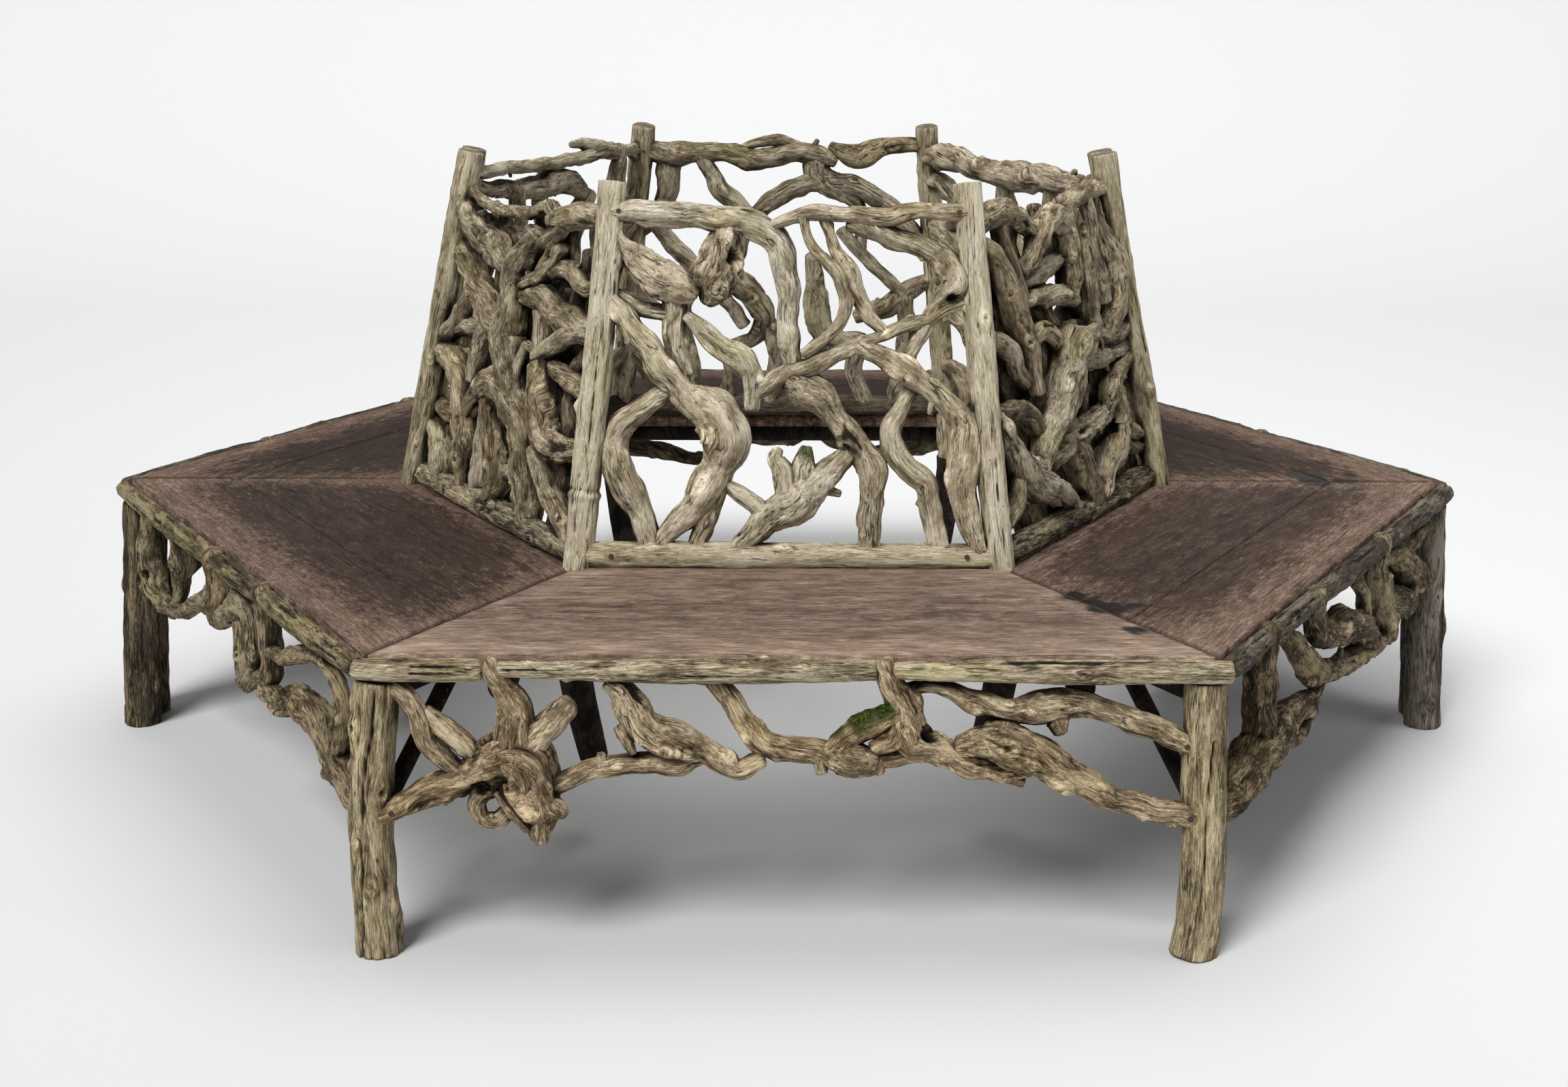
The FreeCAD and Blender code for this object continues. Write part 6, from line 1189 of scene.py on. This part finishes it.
# How far each section's boards are darkened: painted shade, with damp blotches
BOARD_SHADE_AND_DAMP = {
    "front": 0.0, "front_left": 0.66, "front_right": 0.58, "rear": 0.85, "rear_left": 0.82, "rear_right": 0.72,
}
UNDER_RAILS = 34
RUSTY_SPOTS = [(-905, -575, 26)]
STAINS = [
    (427, -725, 26), (465, -785, 34), (505, -775, 18), (490, -895, 22), (945, 35, 34), (950, -10, 30), (1000, 0, 26),
    (760, -70, 18), (447, -755, 20),
]


def board_profile(inner, outer, top, bottom, edge=3.2):
    """Section of a board with rounded edges, as rows of distance from the trunk and height."""
    middle = (top + bottom) / 2
    turns = np.linspace(0, math.pi / 2, 5)[1:-1]
    rows = [(w, top) for w in np.linspace(inner + edge, outer - edge, max(12, int((outer - inner) / 6.5)))]
    rows += [(outer - edge + edge * math.sin(a), top - edge + edge * math.cos(a)) for a in turns]
    rows += [(outer, top - edge), (outer, middle), (outer, bottom + edge)]
    rows += [(outer - edge + edge * math.cos(a), bottom + edge - edge * math.sin(a)) for a in turns]
    rows += [(w, bottom) for w in np.linspace(outer - edge, inner + edge, 10)]
    rows += [(inner + edge - edge * math.sin(a), bottom + edge - edge * math.cos(a)) for a in turns]
    rows += [(inner, bottom + edge), (inner, middle), (inner, top - edge)]
    rows += [(inner + edge - edge * math.cos(a), top - edge + edge * math.sin(a)) for a in turns]
    return np.array(rows)


def seat_board(wood, section, inner, outer, rng):
    """One mitred board, gently uneven, with rounded and worn edges."""
    angle = SECTIONS[section]
    top, bottom = SEAT_HEIGHT, SEAT_HEIGHT - BOARD_THICKNESS
    profile = board_profile(inner, outer, top, bottom)
    count = len(profile)
    stations = int(2 * outer * TAN_30 / 7)
    shares = np.concatenate([[0, 0.0012], np.linspace(0.004, 0.996, stations), [0.9988, 1]])
    rows = len(shares)
    row = np.repeat(np.arange(rows), count)
    w = np.tile(profile[:, 0], rows)
    z = np.tile(profile[:, 1], rows).astype(float)
    half = w * TAN_30 - BOARD_SEAM / 2 / COS_30
    u = (2 * shares[row] - 1) * half
    tail = np.minimum(shares[row], 1 - shares[row]) * 2 * half
    round_end = np.clip(1 - tail / 3.0, 0, 1) ** 2 * 2.6
    middle_height = (top + bottom) / 2
    z += np.where(z > middle_height, -round_end, round_end)
    on_top = z > top - 2.5
    offset = rng.uniform(0, 90, 3)
    plane = np.column_stack([u, w, np.zeros(len(u))])
    wave = 0.9 * noise(plane / (260, 90, 1) + offset)
    groove = 0.55 * noise(plane / (70, 7.5, 1) + offset) + 0.35 * noise(plane / (30, 3.6, 1) + offset)
    near_end = np.exp(-tail / 16)
    near_edge = np.exp(-np.minimum(w - inner, outer - w) / 6.0)
    wear = (1.3 * near_end + 0.9 * near_edge) * (0.7 + 0.6 * noise(plane / (26, 20, 1) + offset))
    drop = np.maximum(wear - wave * 0.5 - groove * 0.6 + 0.5, 0.0)
    z -= np.where(on_top, drop, 0)
    chips = np.clip(noise(plane / (19, 60, 1) + offset + 5) - 0.28, 0, 1) * 5 * (w > outer - 7) * (z > middle_height)
    w = w - chips * 0.7
    place = outward(angle) * w[:, None] + along(angle) * u[:, None]
    place[:, 2] = z
    # Painted shade in the grooves, at the board ends where they meet, and along the edges
    recess_shade = np.clip(-groove * 0.55, -0.6, 0.6) + 1.1 * near_end * (tail < 7) + 0.35 * near_edge
    wet = np.zeros(len(u))
    for x, y, reach in STAINS:
        gap = np.hypot(place[:, 0] - x, place[:, 1] - y)
        if gap.min() > reach * 2:
            continue
        ragged = gap * (1 + 0.55 * layered(plane / (18, 13, 1), 3))
        wet = np.maximum(wet, np.clip((reach - ragged) / 6, 0, 1) * on_top)
    share = (w - SEAT_INNER) / (SEAT_OUTER - SEAT_INNER)
    worn = np.clip((share - 0.72) / 0.28, 0, 1) + 0.75 * np.exp(-tail / 70) + 0.45 * np.clip(1 - share / 0.12, 0, 1)
    look = np.column_stack([recess_shade, wet, worn])
    middle = np.clip(1 - np.abs(share - 0.48) / 0.42, 0, 1)
    rust = np.zeros(len(u))
    for x, y, reach in RUSTY_SPOTS:
        gap = np.hypot(place[:, 0] - x, place[:, 1] - y) * (1 + 0.4 * layered(plane / (22, 16, 1), 2))
        rust = np.maximum(rust, np.clip((reach - gap) / 14, 0, 0.75))
    tone = np.column_stack([np.full(len(u), BOARD_SHADE_AND_DAMP[section]), middle, rust])
    ends = np.array([place[:count].mean(0), place[-count:].mean(0)])
    grain = (plane + np.column_stack([np.zeros(len(u)), np.zeros(len(u)), z]) + offset * 10) * 0.001
    grain = np.vstack([grain, grain[[0, -1]]])
    look = np.vstack([look, look[[0, -1]]])
    tone = np.vstack([tone, tone[[0, -1]]])
    wood.add(np.vstack([place, ends]), *skin(rows, count, turned=True), grain, look, tone)


for number, section in enumerate(SECTIONS):
    rng = np.random.default_rng(100 + number)
    wood = Wood()
    seat_board(wood, section, SEAT_INNER - UNDER_RAILS, SEAT_INNER + INNER_DEPTH, rng)
    seat_board(wood, section, SEAT_INNER + INNER_DEPTH + PLANK_SEAM, SEAT_OUTER, rng)
    wood.piece(f"{section}_boards", half_of(section), "boards", boards, f"{section}_seat_planks")

# Legs, posts and edge poles


NEAR_CORNERS = ("front_left", "front_right")
LEG_SHARES = (0, 0.14, 0.45, 0.75, 1)
POST_SHARES = (0, 0.35, 0.7, 1)


def log_rings(crooks, shares, length):
    """Swell, height and sideways shifts of the rings of a leg or a post."""
    return [(swell, length * share, *shift) for share, (swell, *shift) in zip(shares, crooks)]


def shifted(side, diameter):
    """Step from a corner to one log of a pair, nothing where the log stands alone."""
    return np.array([0, side * (HALF_GAP / 2 + diameter / 2), 0.0])


def log_points(rings, base, axis, out):
    """Centres of a log's rings from their heights and sideways shifts."""
    lateral = np.cross(axis, out)
    return [base + axis * height + out * shift_x + lateral * shift_y for swell, height, shift_x, shift_y in rings]


LEG_WOODS = {"left": dark_leg_wood, "right": grey_leg_wood}
LEG_CRACKS = {
    "front_left": [[(-572, 412), (-575, 350), (-588, 300), (-596, 250), (-600, 200), (-604, 100), (-606, 0)]],
    "front_right": [[(585, 330), (578, 250), (580, 160), (574, 60)]],
}


def places_at(points, rings):
    """Evenly spaced centres of a log whose rings lie at their own heights."""
    heights = [ring[1] for ring in rings]
    even = np.linspace(heights[0], heights[-1], 9)
    return spread_along(heights, points, even)


for number, (corner, (angle, side)) in enumerate(CORNERS.items()):
    rng = np.random.default_rng(200 + number)
    base = outward(angle) * LEG_CIRCLE + shifted(side, 2 * LEG_RADIUS)
    rings = log_rings(LEG_CROOKS[corner], LEG_SHARES, LEG_TOP)
    points = log_points(rings, base, UP, outward(angle))
    radii = [LEG_RADIUS * ring[0] * SLIM["leg"] for ring in rings]
    wood = Wood()
    near = corner in NEAR_CORNERS
    centres = places_at(points, rings)
    cracks = long_cracks(centres, radii, outward(angle), 2 if near else 5, rng, 1.8)
    for line in LEG_CRACKS.get(corner, []):
        path = []
        for x, height in line:
            middle = spread_along(np.linspace(0, LEG_TOP, len(centres)), centres, [height])[0]
            depth = math.sqrt(max((LEG_RADIUS * SLIM["leg"]) ** 2 - (x - middle[0]) ** 2, 0))
            path.append(np.array([x, middle[1] - depth, height]))
        cracks.append((path, 2.6, 9))
    wood_tube(
        wood, points, radii, -outward(angle), rng, step=4.0, facet=3.0 if near else 4.0, ridge=0.8, knots=1.6,
        twist=0.0006, ends=("flat", "flat"), swell=0.045, bark=0.5 if side else 0.2, cracks=cracks, flute=0.08,
        tone=(rng.uniform(-0.4, 0.4), rng.uniform(0.5, 1), 0.3),
    )
    bark_wood = LEG_WOODS.get(corner.split("_")[0], leg_wood)
    wood.piece(f"{corner}_log_leg", half_of_corner(corner), "bark_logs", bark_wood, f"{corner}_leg")

post_lean = math.atan2(POST_FOOT - POST_HEAD, POST_TOP - SEAT_HEIGHT)
post_length = POST_TAIL + math.hypot(POST_FOOT - POST_HEAD, POST_TOP - SEAT_HEIGHT)
for number, (corner, (angle, side)) in enumerate(CORNERS.items()):
    rng = np.random.default_rng(300 + number)
    axis = UP * math.cos(post_lean) - outward(angle) * math.sin(post_lean)
    base = outward(angle) * (POST_FOOT + POST_TAIL * math.sin(post_lean)) + shifted(side, 2 * POST_RADIUS)
    base[2] = SEAT_HEIGHT - POST_TAIL * math.cos(post_lean)
    out = outward(angle) * math.cos(post_lean) + UP * math.sin(post_lean)
    rings = log_rings(POST_CROOKS[corner], POST_SHARES, post_length)
    points = log_points(rings, base, axis, out)
    radii = [POST_RADIUS * ring[0] * SLIM["post"] for ring in rings]
    wood = Wood()
    near = corner in NEAR_CORNERS
    cracks = long_cracks(places_at(points, rings), radii, outward(angle), 1 if near else 3, rng, 1.4, 4)
    wood_tube(
        wood, points, radii, out, rng, step=4.2, facet=3.0 if near else 3.8, ridge=0.8, knots=1.2, twist=0.0005,
        ends=("flat", "sawn"), swell=0.05, cracks=cracks, collars=[(206, 3.2)] if corner == "front_left" else (),
        tone=(rng.uniform(-0.2, 0.5), rng.uniform(0.2, 0.7), 0.3),
    )
    bare_wood = post_wood if near else side_post_wood
    wood.piece(f"{corner}_log_post", half_of_corner(corner), "driftwood", bare_wood, f"{corner}_post")

POLE_WOODS = {"front": pole_wood, "front_left": side_pole_wood}

for number, section in enumerate(SECTIONS):
    rng = np.random.default_rng(400 + number)
    wood = Wood()
    angle = SECTIONS[section]
    for (start, end), (low, middle, high) in EDGE_POLES[section]:
        points, radii = [], []
        start -= 6 if start > -560 else 0
        end += 8 if end < 560 else 0
        for share, radius in zip((0, 0.12, 0.5, 0.88, 1), (low, low + 1.5, middle, high + 0.5, high)):
            radius = min(radius, POLE_RADIUS)
            across = (start + (end - start) * share) * (SEAT_OUTER + POLE_RADIUS) / POLE_PLANE
            points.append(outward(angle) * (SEAT_OUTER + radius) + along(angle) * across + UP * POLE_HEIGHT)
            radii.append(radius * SLIM["pole"])
        points[0] = points[0] + (points[1] - points[0]) * 0.01
        cracks = long_cracks(np.array(points), radii, outward(angle) + 0.6 * UP, 4, rng, 1.8, 6)
        wood_tube(
            wood, points, radii, UP, rng, step=5, facet=3.6, ridge=0.9, knots=1.4, twist=0.0006, swell=0.06,
            cracks=cracks, tone=(rng.uniform(-0.5, 0.5), rng.uniform(0.4, 1), 0.25),
        )
    bare_wood = POLE_WOODS.get(section, dark_pole_wood)
    wood.piece(f"{section}_poles", half_of(section), "driftwood", bare_wood, f"{section}_edge_poles")

# Branches of the backs and the aprons

GNARLED = {
    ("front", 1): 0.8, ("front", 2): 0.9, ("front", 3): 0.35, ("front", 9): 0.35, ("front", 12): 0.3,
    ("front", 13): 0.3,
    ("front_left", 0): 0.4, ("front_left", 1): 0.3, ("front_left", 2): 0.5, ("front_left", 10): 0.5,
    ("front_left", 12): 0.4, ("front_left", 13): 0.5, ("front_left", 17): 0.5,
    ("front_right", 0): 0.5, ("front_right", 5): 0.4, ("front_right", 10): 0.3, ("front_right", 15): 0.5,
    ("front_right", 16): 0.8, ("front_right", 17): 0.5,
    ("rear", 3): 0.4, ("rear", 7): 0.5,
}
APRON_GNARLED = {
    ("front", 0): 0.5, ("front", 6): 0.4, ("front", 8): 0.7, ("front", 11): 0.4, ("front_left", 0): 0.4,
    ("front_left", 4): 0.4, ("front_left", 6): 0.4, ("front_right", 0): 0.5, ("front_right", 4): 0.5,
    ("front_right", 8): 0.5,
}
BACK_PITS = {
    "front": [(250, 418, 8, 20), (-86, 476, 11, 30), (-232, 462, 6, 16), (-190, 445, 5, 14), (-205, 420, 6, 14)],
    "front_left": [(-30, 330, 8, 16), (60, 190, 9, 18)],
    "front_right": [(-10, 262, 8, 14), (90, 470, 9, 18)],
    "rear": [(-122, 468, 8, 18)],
}
APRON_PITS = {
    "front": [(190, 340, 10, 26), (-378, 262, 6, 16), (-430, 262, 9, 22)],
    "front_left": [(-470, 300, 7, 16)],
}
BACK_MOSS = {
    "front": [(28, 178, 26, 0.55), (-10, 150, 14, 0.3)],
    "front_left": [(-40, 440, 50, 0.35), (60, 520, 40, 0.3), (-60, 220, 40, 0.3)],
    "front_right": [(-215, 536, 40, 0.35), (-60, 200, 46, 0.4), (20, 285, 40, 0.4), (180, 165, 40, 0.3)],
    "rear": [(70, 500, 40, 0.35), (-10, 545, 40, 0.3), (-70, 420, 40, 0.3)],
    "rear_left": [(-200, 410, 50, 0.3), (40, 500, 50, 0.3)],
    "rear_right": [(0, 522, 40, 0.3)],
}
APRON_MOSS = {
    "front": [(-193, 348, 16, 0.9), (95, 368, 30, 1.0), (130, 372, 24, 1.0), (60, 345, 18, 0.9)],
    "front_right": [(460, 395, 50, 0.55), (400, 385, 30, 0.5), (-200, 300, 20, 0.4)],
    "front_left": [(-400, 262, 24, 0.3)],
}


def spots(section, locate, rows, out, turned=1):
    """Places of pits or moss, with the reach and the strength of each."""
    return [(locate(section, u * turned, v, out), reach, strength) for u, v, reach, strength in rows]


def add_twigs(wood, section, locate, route, turned, rng, rate):
    """Short broken twigs that stand off a branch."""
    for first, second in zip(route, route[1:]):
        span = math.dist(first[:3], second[:3])
        if first[3] < 12 or rng.random() > rate * span / 100:
            continue
        share = rng.uniform(0.2, 0.8)
        u, v, w, r = (one + (other - one) * share for one, other in zip(first, second))
        lean = math.atan2(second[1] - first[1], second[0] - first[0]) + rng.choice([-1, 1]) * rng.uniform(0.6, 1.2)
        reach = r * rng.uniform(1.3, 1.9)
        thick = r * rng.uniform(0.28, 0.42)
        tip = (u + math.cos(lean) * reach, v + math.sin(lean) * reach)
        halfway = ((u + tip[0]) / 2, (v + tip[1]) / 2)
        stub = [(u, v, w, thick * 1.5), (*halfway, w + 1, thick * 1.15), (*tip, w + rng.uniform(-2, 4), thick * 0.8)]
        points = [locate(section, across * turned, rise, out) for across, rise, out, _ in stub]
        normal = back_normal(section) if locate is back_point else outward(SECTIONS[section])
        wood_tube(wood, points, [row[3] for row in stub], normal, rng, step=3.5, facet=3.2, knots=0, ridge=0.5)


TONES = {
    ("front_right", 1): (0.3, 0.1, 1.0), ("front_right", 15): (1.0, 0.2, 0.0), ("front_left", 16): (1.0, 0.1, 0.1),
    ("front", 8): (0.1, 1.0, 0.0), ("front_right", 10): (0.7, 0.8, 0.0),
}

# Thin limbs in shadow, behind the two front side backs; they are mirrored on the right one
BEHIND_SIDES = {"front_left": 1, "front_right": -1}
BEHIND = [
    [(-270, 40, -24, 15), (-230, 160, -26, 20), (-250, 300, -24, 18), (-215, 430, -26, 15)],
    [(-190, 30, -22, 16), (-150, 140, -26, 22), (-170, 260, -26, 20), (-130, 380, -24, 16), (-150, 500, -22, 13)],
    [
        (-100, 30, -24, 15), (-70, 120, -26, 20), (-90, 230, -26, 18), (-20, 330, -26, 18), (20, 450, -24, 15),
        (-10, 525, -20, 12),
    ],
    [
        (0, 30, -24, 14), (10, 130, -28, 18), (60, 220, -26, 20), (50, 330, -26, 18), (110, 430, -24, 15),
        (100, 520, -22, 12),
    ],
    [(90, 30, -24, 16), (130, 130, -26, 20), (110, 250, -28, 20), (160, 350, -26, 18), (190, 470, -24, 14)],
    [(190, 30, -24, 15), (210, 140, -26, 20), (190, 260, -26, 18), (230, 380, -24, 16), (225, 500, -22, 12)],
    [(265, 60, -24, 14), (250, 200, -26, 18), (262, 320, -24, 15)],
    [(-280, 200, -30, 14), (-180, 210, -30, 17), (-60, 180, -30, 17), (40, 150, -30, 15)],
    [(-240, 360, -30, 13), (-120, 330, -30, 17), (10, 290, -30, 18), (140, 300, -30, 16), (250, 250, -30, 13)],
    [(-220, 480, -28, 12), (-100, 450, -30, 16), (40, 400, -30, 16), (170, 410, -28, 14), (235, 440, -26, 12)],
]
WOODS = {"front": back_wood, "front_left": side_wood, "front_right": side_wood}
FINENESS = {"front": (3.9, 3.0), "front_left": (4.8, 3.9), "front_right": (4.8, 3.9)}

for number, (section, (top_routes, branch_routes, turned)) in enumerate(BACKS.items()):
    rng = np.random.default_rng(500 + number)
    pits = spots(section, back_point, BACK_PITS.get(section, []), 18, turned)
    moss = spots(section, back_point, BACK_MOSS[section], 8, turned)
    step, facet = FINENESS.get(section, (5.6, 4.6))
    for kind, routes in (("top_rails", top_routes), ("back_branches", branch_routes)):
        wood = Wood()
        for index, route in enumerate(routes):
            points = [back_point(section, u * turned, v, w) for u, v, w, r in route]
            radii = [r * SLIM["branch"] for u, v, w, r in route]
            infill = kind == "back_branches"
            gnarl = GNARLED.get((section, index), 0.12) if infill else 0.2
            wood_tube(
                wood, points, radii, back_normal(section), rng, gnarl=gnarl, pits=pits, moss=moss,
                twist=rng.uniform(0, 0.006), tone=TONES.get((section, index)) if infill else None, swell=0.09,
                hollows=0.12 if section == "front" else 0.35, wander=4.5, flute=0.16, knots=1.5, step=step,
                facet=facet,
            )
            add_twigs(wood, section, back_point, route, turned, rng, 0.16)
        if kind == "back_branches" and section in BEHIND_SIDES:
            for route in BEHIND:
                side = BEHIND_SIDES[section]
                shift = rng.uniform(-14, 14, (len(route), 2))
                route = [(side * u + du, v + dv, w, r) for (u, v, w, r), (du, dv) in zip(route, shift)]
                points = [back_point(section, u, v, w) for u, v, w, r in route]
                # Tone -2.2 darkens these limbs as painted shade
                wood_tube(
                    wood, points, [row[3] for row in route], back_normal(section), rng, step=6, facet=5, gnarl=0.25,
                    swell=0.1, wander=7, flute=0.16, tone=(-2.2, rng.uniform(0.3, 1), 0.6),
                )
        bare_wood = WOODS.get(section, rear_wood)
        wood.piece(f"{section}_{kind}_wood", half_of(section), "driftwood", bare_wood, f"{section}_{kind}")

# Knobs of the gnarled places on the front apron
FRONT_KNOBS = [
    [(-345, 240, 14, 12), (-328, 231, 16, 15), (-316, 221, 14, 9)],
    [(-352, 215, 4, 16), (-352, 192, 6, 17), (-350, 178, 6, 12)],
    [(-408, 256, 26, 5), (-385, 225, 28, 7), (-368, 198, 18, 5)],
    [
        (-392, 226, 10, 12), (-410, 210, 12, 13), (-430, 214, 12, 12), (-438, 232, 10, 13), (-430, 250, 8, 13),
        (-412, 254, 8, 10),
    ],
    [(-400, 306, 18, 15), (-372, 282, 20, 22), (-364, 240, 18, 17)],
    [(-265, 288, 4, 9), (-264, 306, 6, 6)],
    [(-238, 350, 18, 8), (-226, 328, 18, 8), (-220, 312, 14, 6)],
    [(38, 300, 4, 10), (42, 281, 8, 8)],
    [(68, 300, 6, 15), (72, 282, 8, 11)],
    [(118, 300, 4, 10), (122, 280, 6, 8)],
    [(60, 304, 8, 20), (80, 301, 10, 26), (112, 296, 8, 19)],
    [(368, 352, 2, 16), (372, 340, 6, 11)],
    [(265, 336, 6, 18), (300, 320, 8, 31), (334, 303, 6, 28)],
    [(292, 276, 4, 9), (322, 266, 6, 7)],
    [(112, 318, 12, 10), (140, 332, 12, 14), (150, 352, 10, 12)],
]

for number, (section, routes) in enumerate(APRONS.items()):
    rng = np.random.default_rng(600 + number)
    pits = spots(section, apron_point, APRON_PITS.get(section, []), 18)
    moss = spots(section, apron_point, APRON_MOSS.get(section, []), 4)
    step, facet = (3.9, 3.0) if section == "front" else (5.0, 4.2)
    wood = Wood()
    for index, route in enumerate(routes):
        points = [apron_point(section, u, v, w) for u, v, w, r in route]
        radii = [r * SLIM["branch"] for u, v, w, r in route]
        wood_tube(
            wood, points, radii, outward(SECTIONS[section]), rng, gnarl=APRON_GNARLED.get((section, index), 0.15),
            pits=pits, moss=moss, twist=rng.uniform(0, 0.005), swell=0.09, hollows=0.2, wander=4.5, flute=0.14,
            knots=1.8, step=step, facet=facet,
        )
        add_twigs(wood, section, apron_point, route, 1, rng, 0.14)
    for route in FRONT_KNOBS if section == "front" else ():
        points = [apron_point(section, u, v, w) for u, v, w, r in route]
        wood_tube(
            wood, points, [row[3] for row in route], outward(SECTIONS[section]), rng, step=3.4, facet=3.0,
            gnarl=0.45, pits=pits, moss=moss, swell=0.1, flute=0.1,
        )
    bare_wood = apron_wood if section == "front" else side_apron_wood
    wood.piece(f"{section}_apron_wood", half_of(section), "driftwood", bare_wood, f"{section}_apron")

# Bottom rails of the backs

DOUBLED_ENDS = {"front_left": -1, "front_right": 1, "rear_left": 1, "rear_right": -1}
RAIL_CROOKS = {
    "front": (1.0, 1.04, 0.98, 0.95), "front_left": (1.1, 1.15, 1.1, 1.0), "front_right": (1.0, 1.1, 1.15, 1.05),
    "rear": (0.95, 1.0, 1.05, 1.0), "rear_left": (1.05, 1.0, 0.95, 1.0), "rear_right": (1.0, 0.95, 1.0, 1.05),
}
for half, sections in (("front_half", FRONT_HALF), ("rear_half", REAR_HALF)):
    rng = np.random.default_rng(700 + len(sections[0]))
    wood = Wood()
    for section in sections:
        reach = DRAWN_FOOT / 2 - RAIL_INSET
        beside = (2 * POST_RADIUS + HALF_GAP) / 2 * COS_30
        low, high = (reach - beside * (DOUBLED_ENDS.get(section) == end) for end in (-1, 1))
        points = [back_point(section, across, RAIL_HEIGHT, 0) for across in (-low, -0.35 * low, 0.35 * high, high)]
        radii = [RAIL_RADIUS * crook * SLIM["rail"] for crook in RAIL_CROOKS[section]]
        wood_tube(
            wood, points, radii, UP, rng, step=5, facet=4, ridge=0.8, knots=0.8, twist=0.0005,
            ends=("flat", "flat"), swell=0.05,
            tone=(-3.6 if section in DOUBLED_ENDS else 0.0, rng.uniform(0.3, 0.8), 0.6),
        )
    bare_wood = post_wood if half == "front_half" else dark_rail_wood
    wood.piece(f"{half}_bottom_rails", half, "driftwood", bare_wood, f"{half}_back_rails")

shut_in = crowding([wood.points for wood in woods])
for wood in woods:
    wood.build(shut_in)

# Frame under the seat keeps its bodies and gets dark, rough wood

for name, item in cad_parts.items():
    under = any(word in name for word in ("bearers", "inner_rails", "inner_legs", "braces"))
    if not under and "nails" not in name and name != "coupling_screws":
        continue
    mesh = item.data
    place = np.zeros(len(mesh.vertices) * 3)
    mesh.vertices.foreach_get("co", place)
    place = place.reshape(-1, 3)
    if under:
        none = place * 0
        # The frame gets a middling painted gap shade all over
        store(mesh, {"grain": place, "look": none, "gap_shade": none + 0.5, "tone": none + (0, 0.4, 0.2)})
    mesh.materials.clear()
    mesh.materials.append(frame_wood if under else iron)

# Floor, bent up to a backdrop, light and camera

paint = Graph("floor_paint")
paint.feed(paint.shader.inputs["Base Color"], (0.58, 0.58, 0.58))
paint.feed(paint.shader.inputs["Roughness"], 0.9)
profile = [(-9.0, 0.0), (4.5, 0.0)]
profile += [(4.5 + 3.5 * math.sin(t), 3.5 - 3.5 * math.cos(t)) for t in np.linspace(0.1, math.pi / 2, 16)]
profile.append((8.0, 12.0))
floor_mesh = bpy.data.meshes.new("floor")
floor_mesh.from_pydata(
    [(x, y, z) for y, z in profile for x in (-14, 14)],
    [],
    [(2 * i, 2 * i + 1, 2 * i + 3, 2 * i + 2) for i in range(len(profile) - 1)],
)
floor_mesh.shade_smooth()
floor_mesh.materials.append(paint.material)
floor = bpy.data.objects.new("floor", floor_mesh)
bpy.context.scene.collection.objects.link(floor)


def area_light(name, place, target, width, height, power):
    """Rectangular lamp that faces a target."""
    data = bpy.data.lights.new(name, "AREA")
    data.shape = "RECTANGLE"
    data.size = width
    data.size_y = height
    data.energy = power
    lamp = bpy.data.objects.new(name, data)
    lamp.location = place
    lamp.rotation_euler = (Vector(target) - Vector(place)).to_track_quat("-Z", "Y").to_euler()
    bpy.context.scene.collection.objects.link(lamp)


sun_data = bpy.data.lights.new("key", "SUN")
sun_data.energy = 3.4
sun_data.angle = 0.45
sun = bpy.data.objects.new("key", sun_data)
sun.rotation_euler = Vector((1.9, 3.3, -4.0)).to_track_quat("-Z", "Y").to_euler()
bpy.context.scene.collection.objects.link(sun)
area_light("top", (0.3, 0.2, 4.6), (0, 0, 0), 3.4, 3.4, 120)
area_light("backdrop", (0, 3.2, 4.8), (0, 8, 1.6), 6, 1.5, 45)
area_light("side", (4.2, -1.6, 2.2), (0, 0, 0.6), 2.4, 2.4, 35)

world = bpy.data.worlds.new("studio")
bpy.context.scene.world = world
world.use_nodes = True
background = world.node_tree.nodes["Background"]
background.inputs["Color"].default_value = (0.92, 0.95, 1.0, 1)
background.inputs["Strength"].default_value = 0.24

# Camera fitted to the seat corners, leg feet and post heads of the photo
FOCAL_PIXELS = 3440
PHOTO_WIDTH = 2303
camera_data = bpy.data.cameras.new("photo_camera")
camera_data.sensor_width = 36
camera_data.lens = FOCAL_PIXELS * camera_data.sensor_width / PHOTO_WIDTH
camera_data.clip_end = 60
camera = bpy.data.objects.new("photo_camera", camera_data)
pitch, yaw, roll = math.radians(15.30), math.radians(-0.54), math.radians(0.30)
level = Vector((math.cos(yaw), math.sin(yaw), 0))
ahead = Vector((-math.sin(yaw), math.cos(yaw), 0))
top = Vector((0, 0, 1))
forward = ahead * math.cos(pitch) - top * math.sin(pitch)
above = ahead * math.sin(pitch) + top * math.cos(pitch)
right = level * math.cos(roll) + above * math.sin(roll)
upward = above * math.cos(roll) - level * math.sin(roll)
rotation = Matrix((right, upward, -forward)).transposed().to_4x4()
camera.matrix_world = Matrix.Translation((-0.041, -4.074, 1.445)) @ rotation
bpy.context.scene.collection.objects.link(camera)
bpy.context.scene.camera = camera
bpy.context.scene.view_settings.view_transform = "Standard"
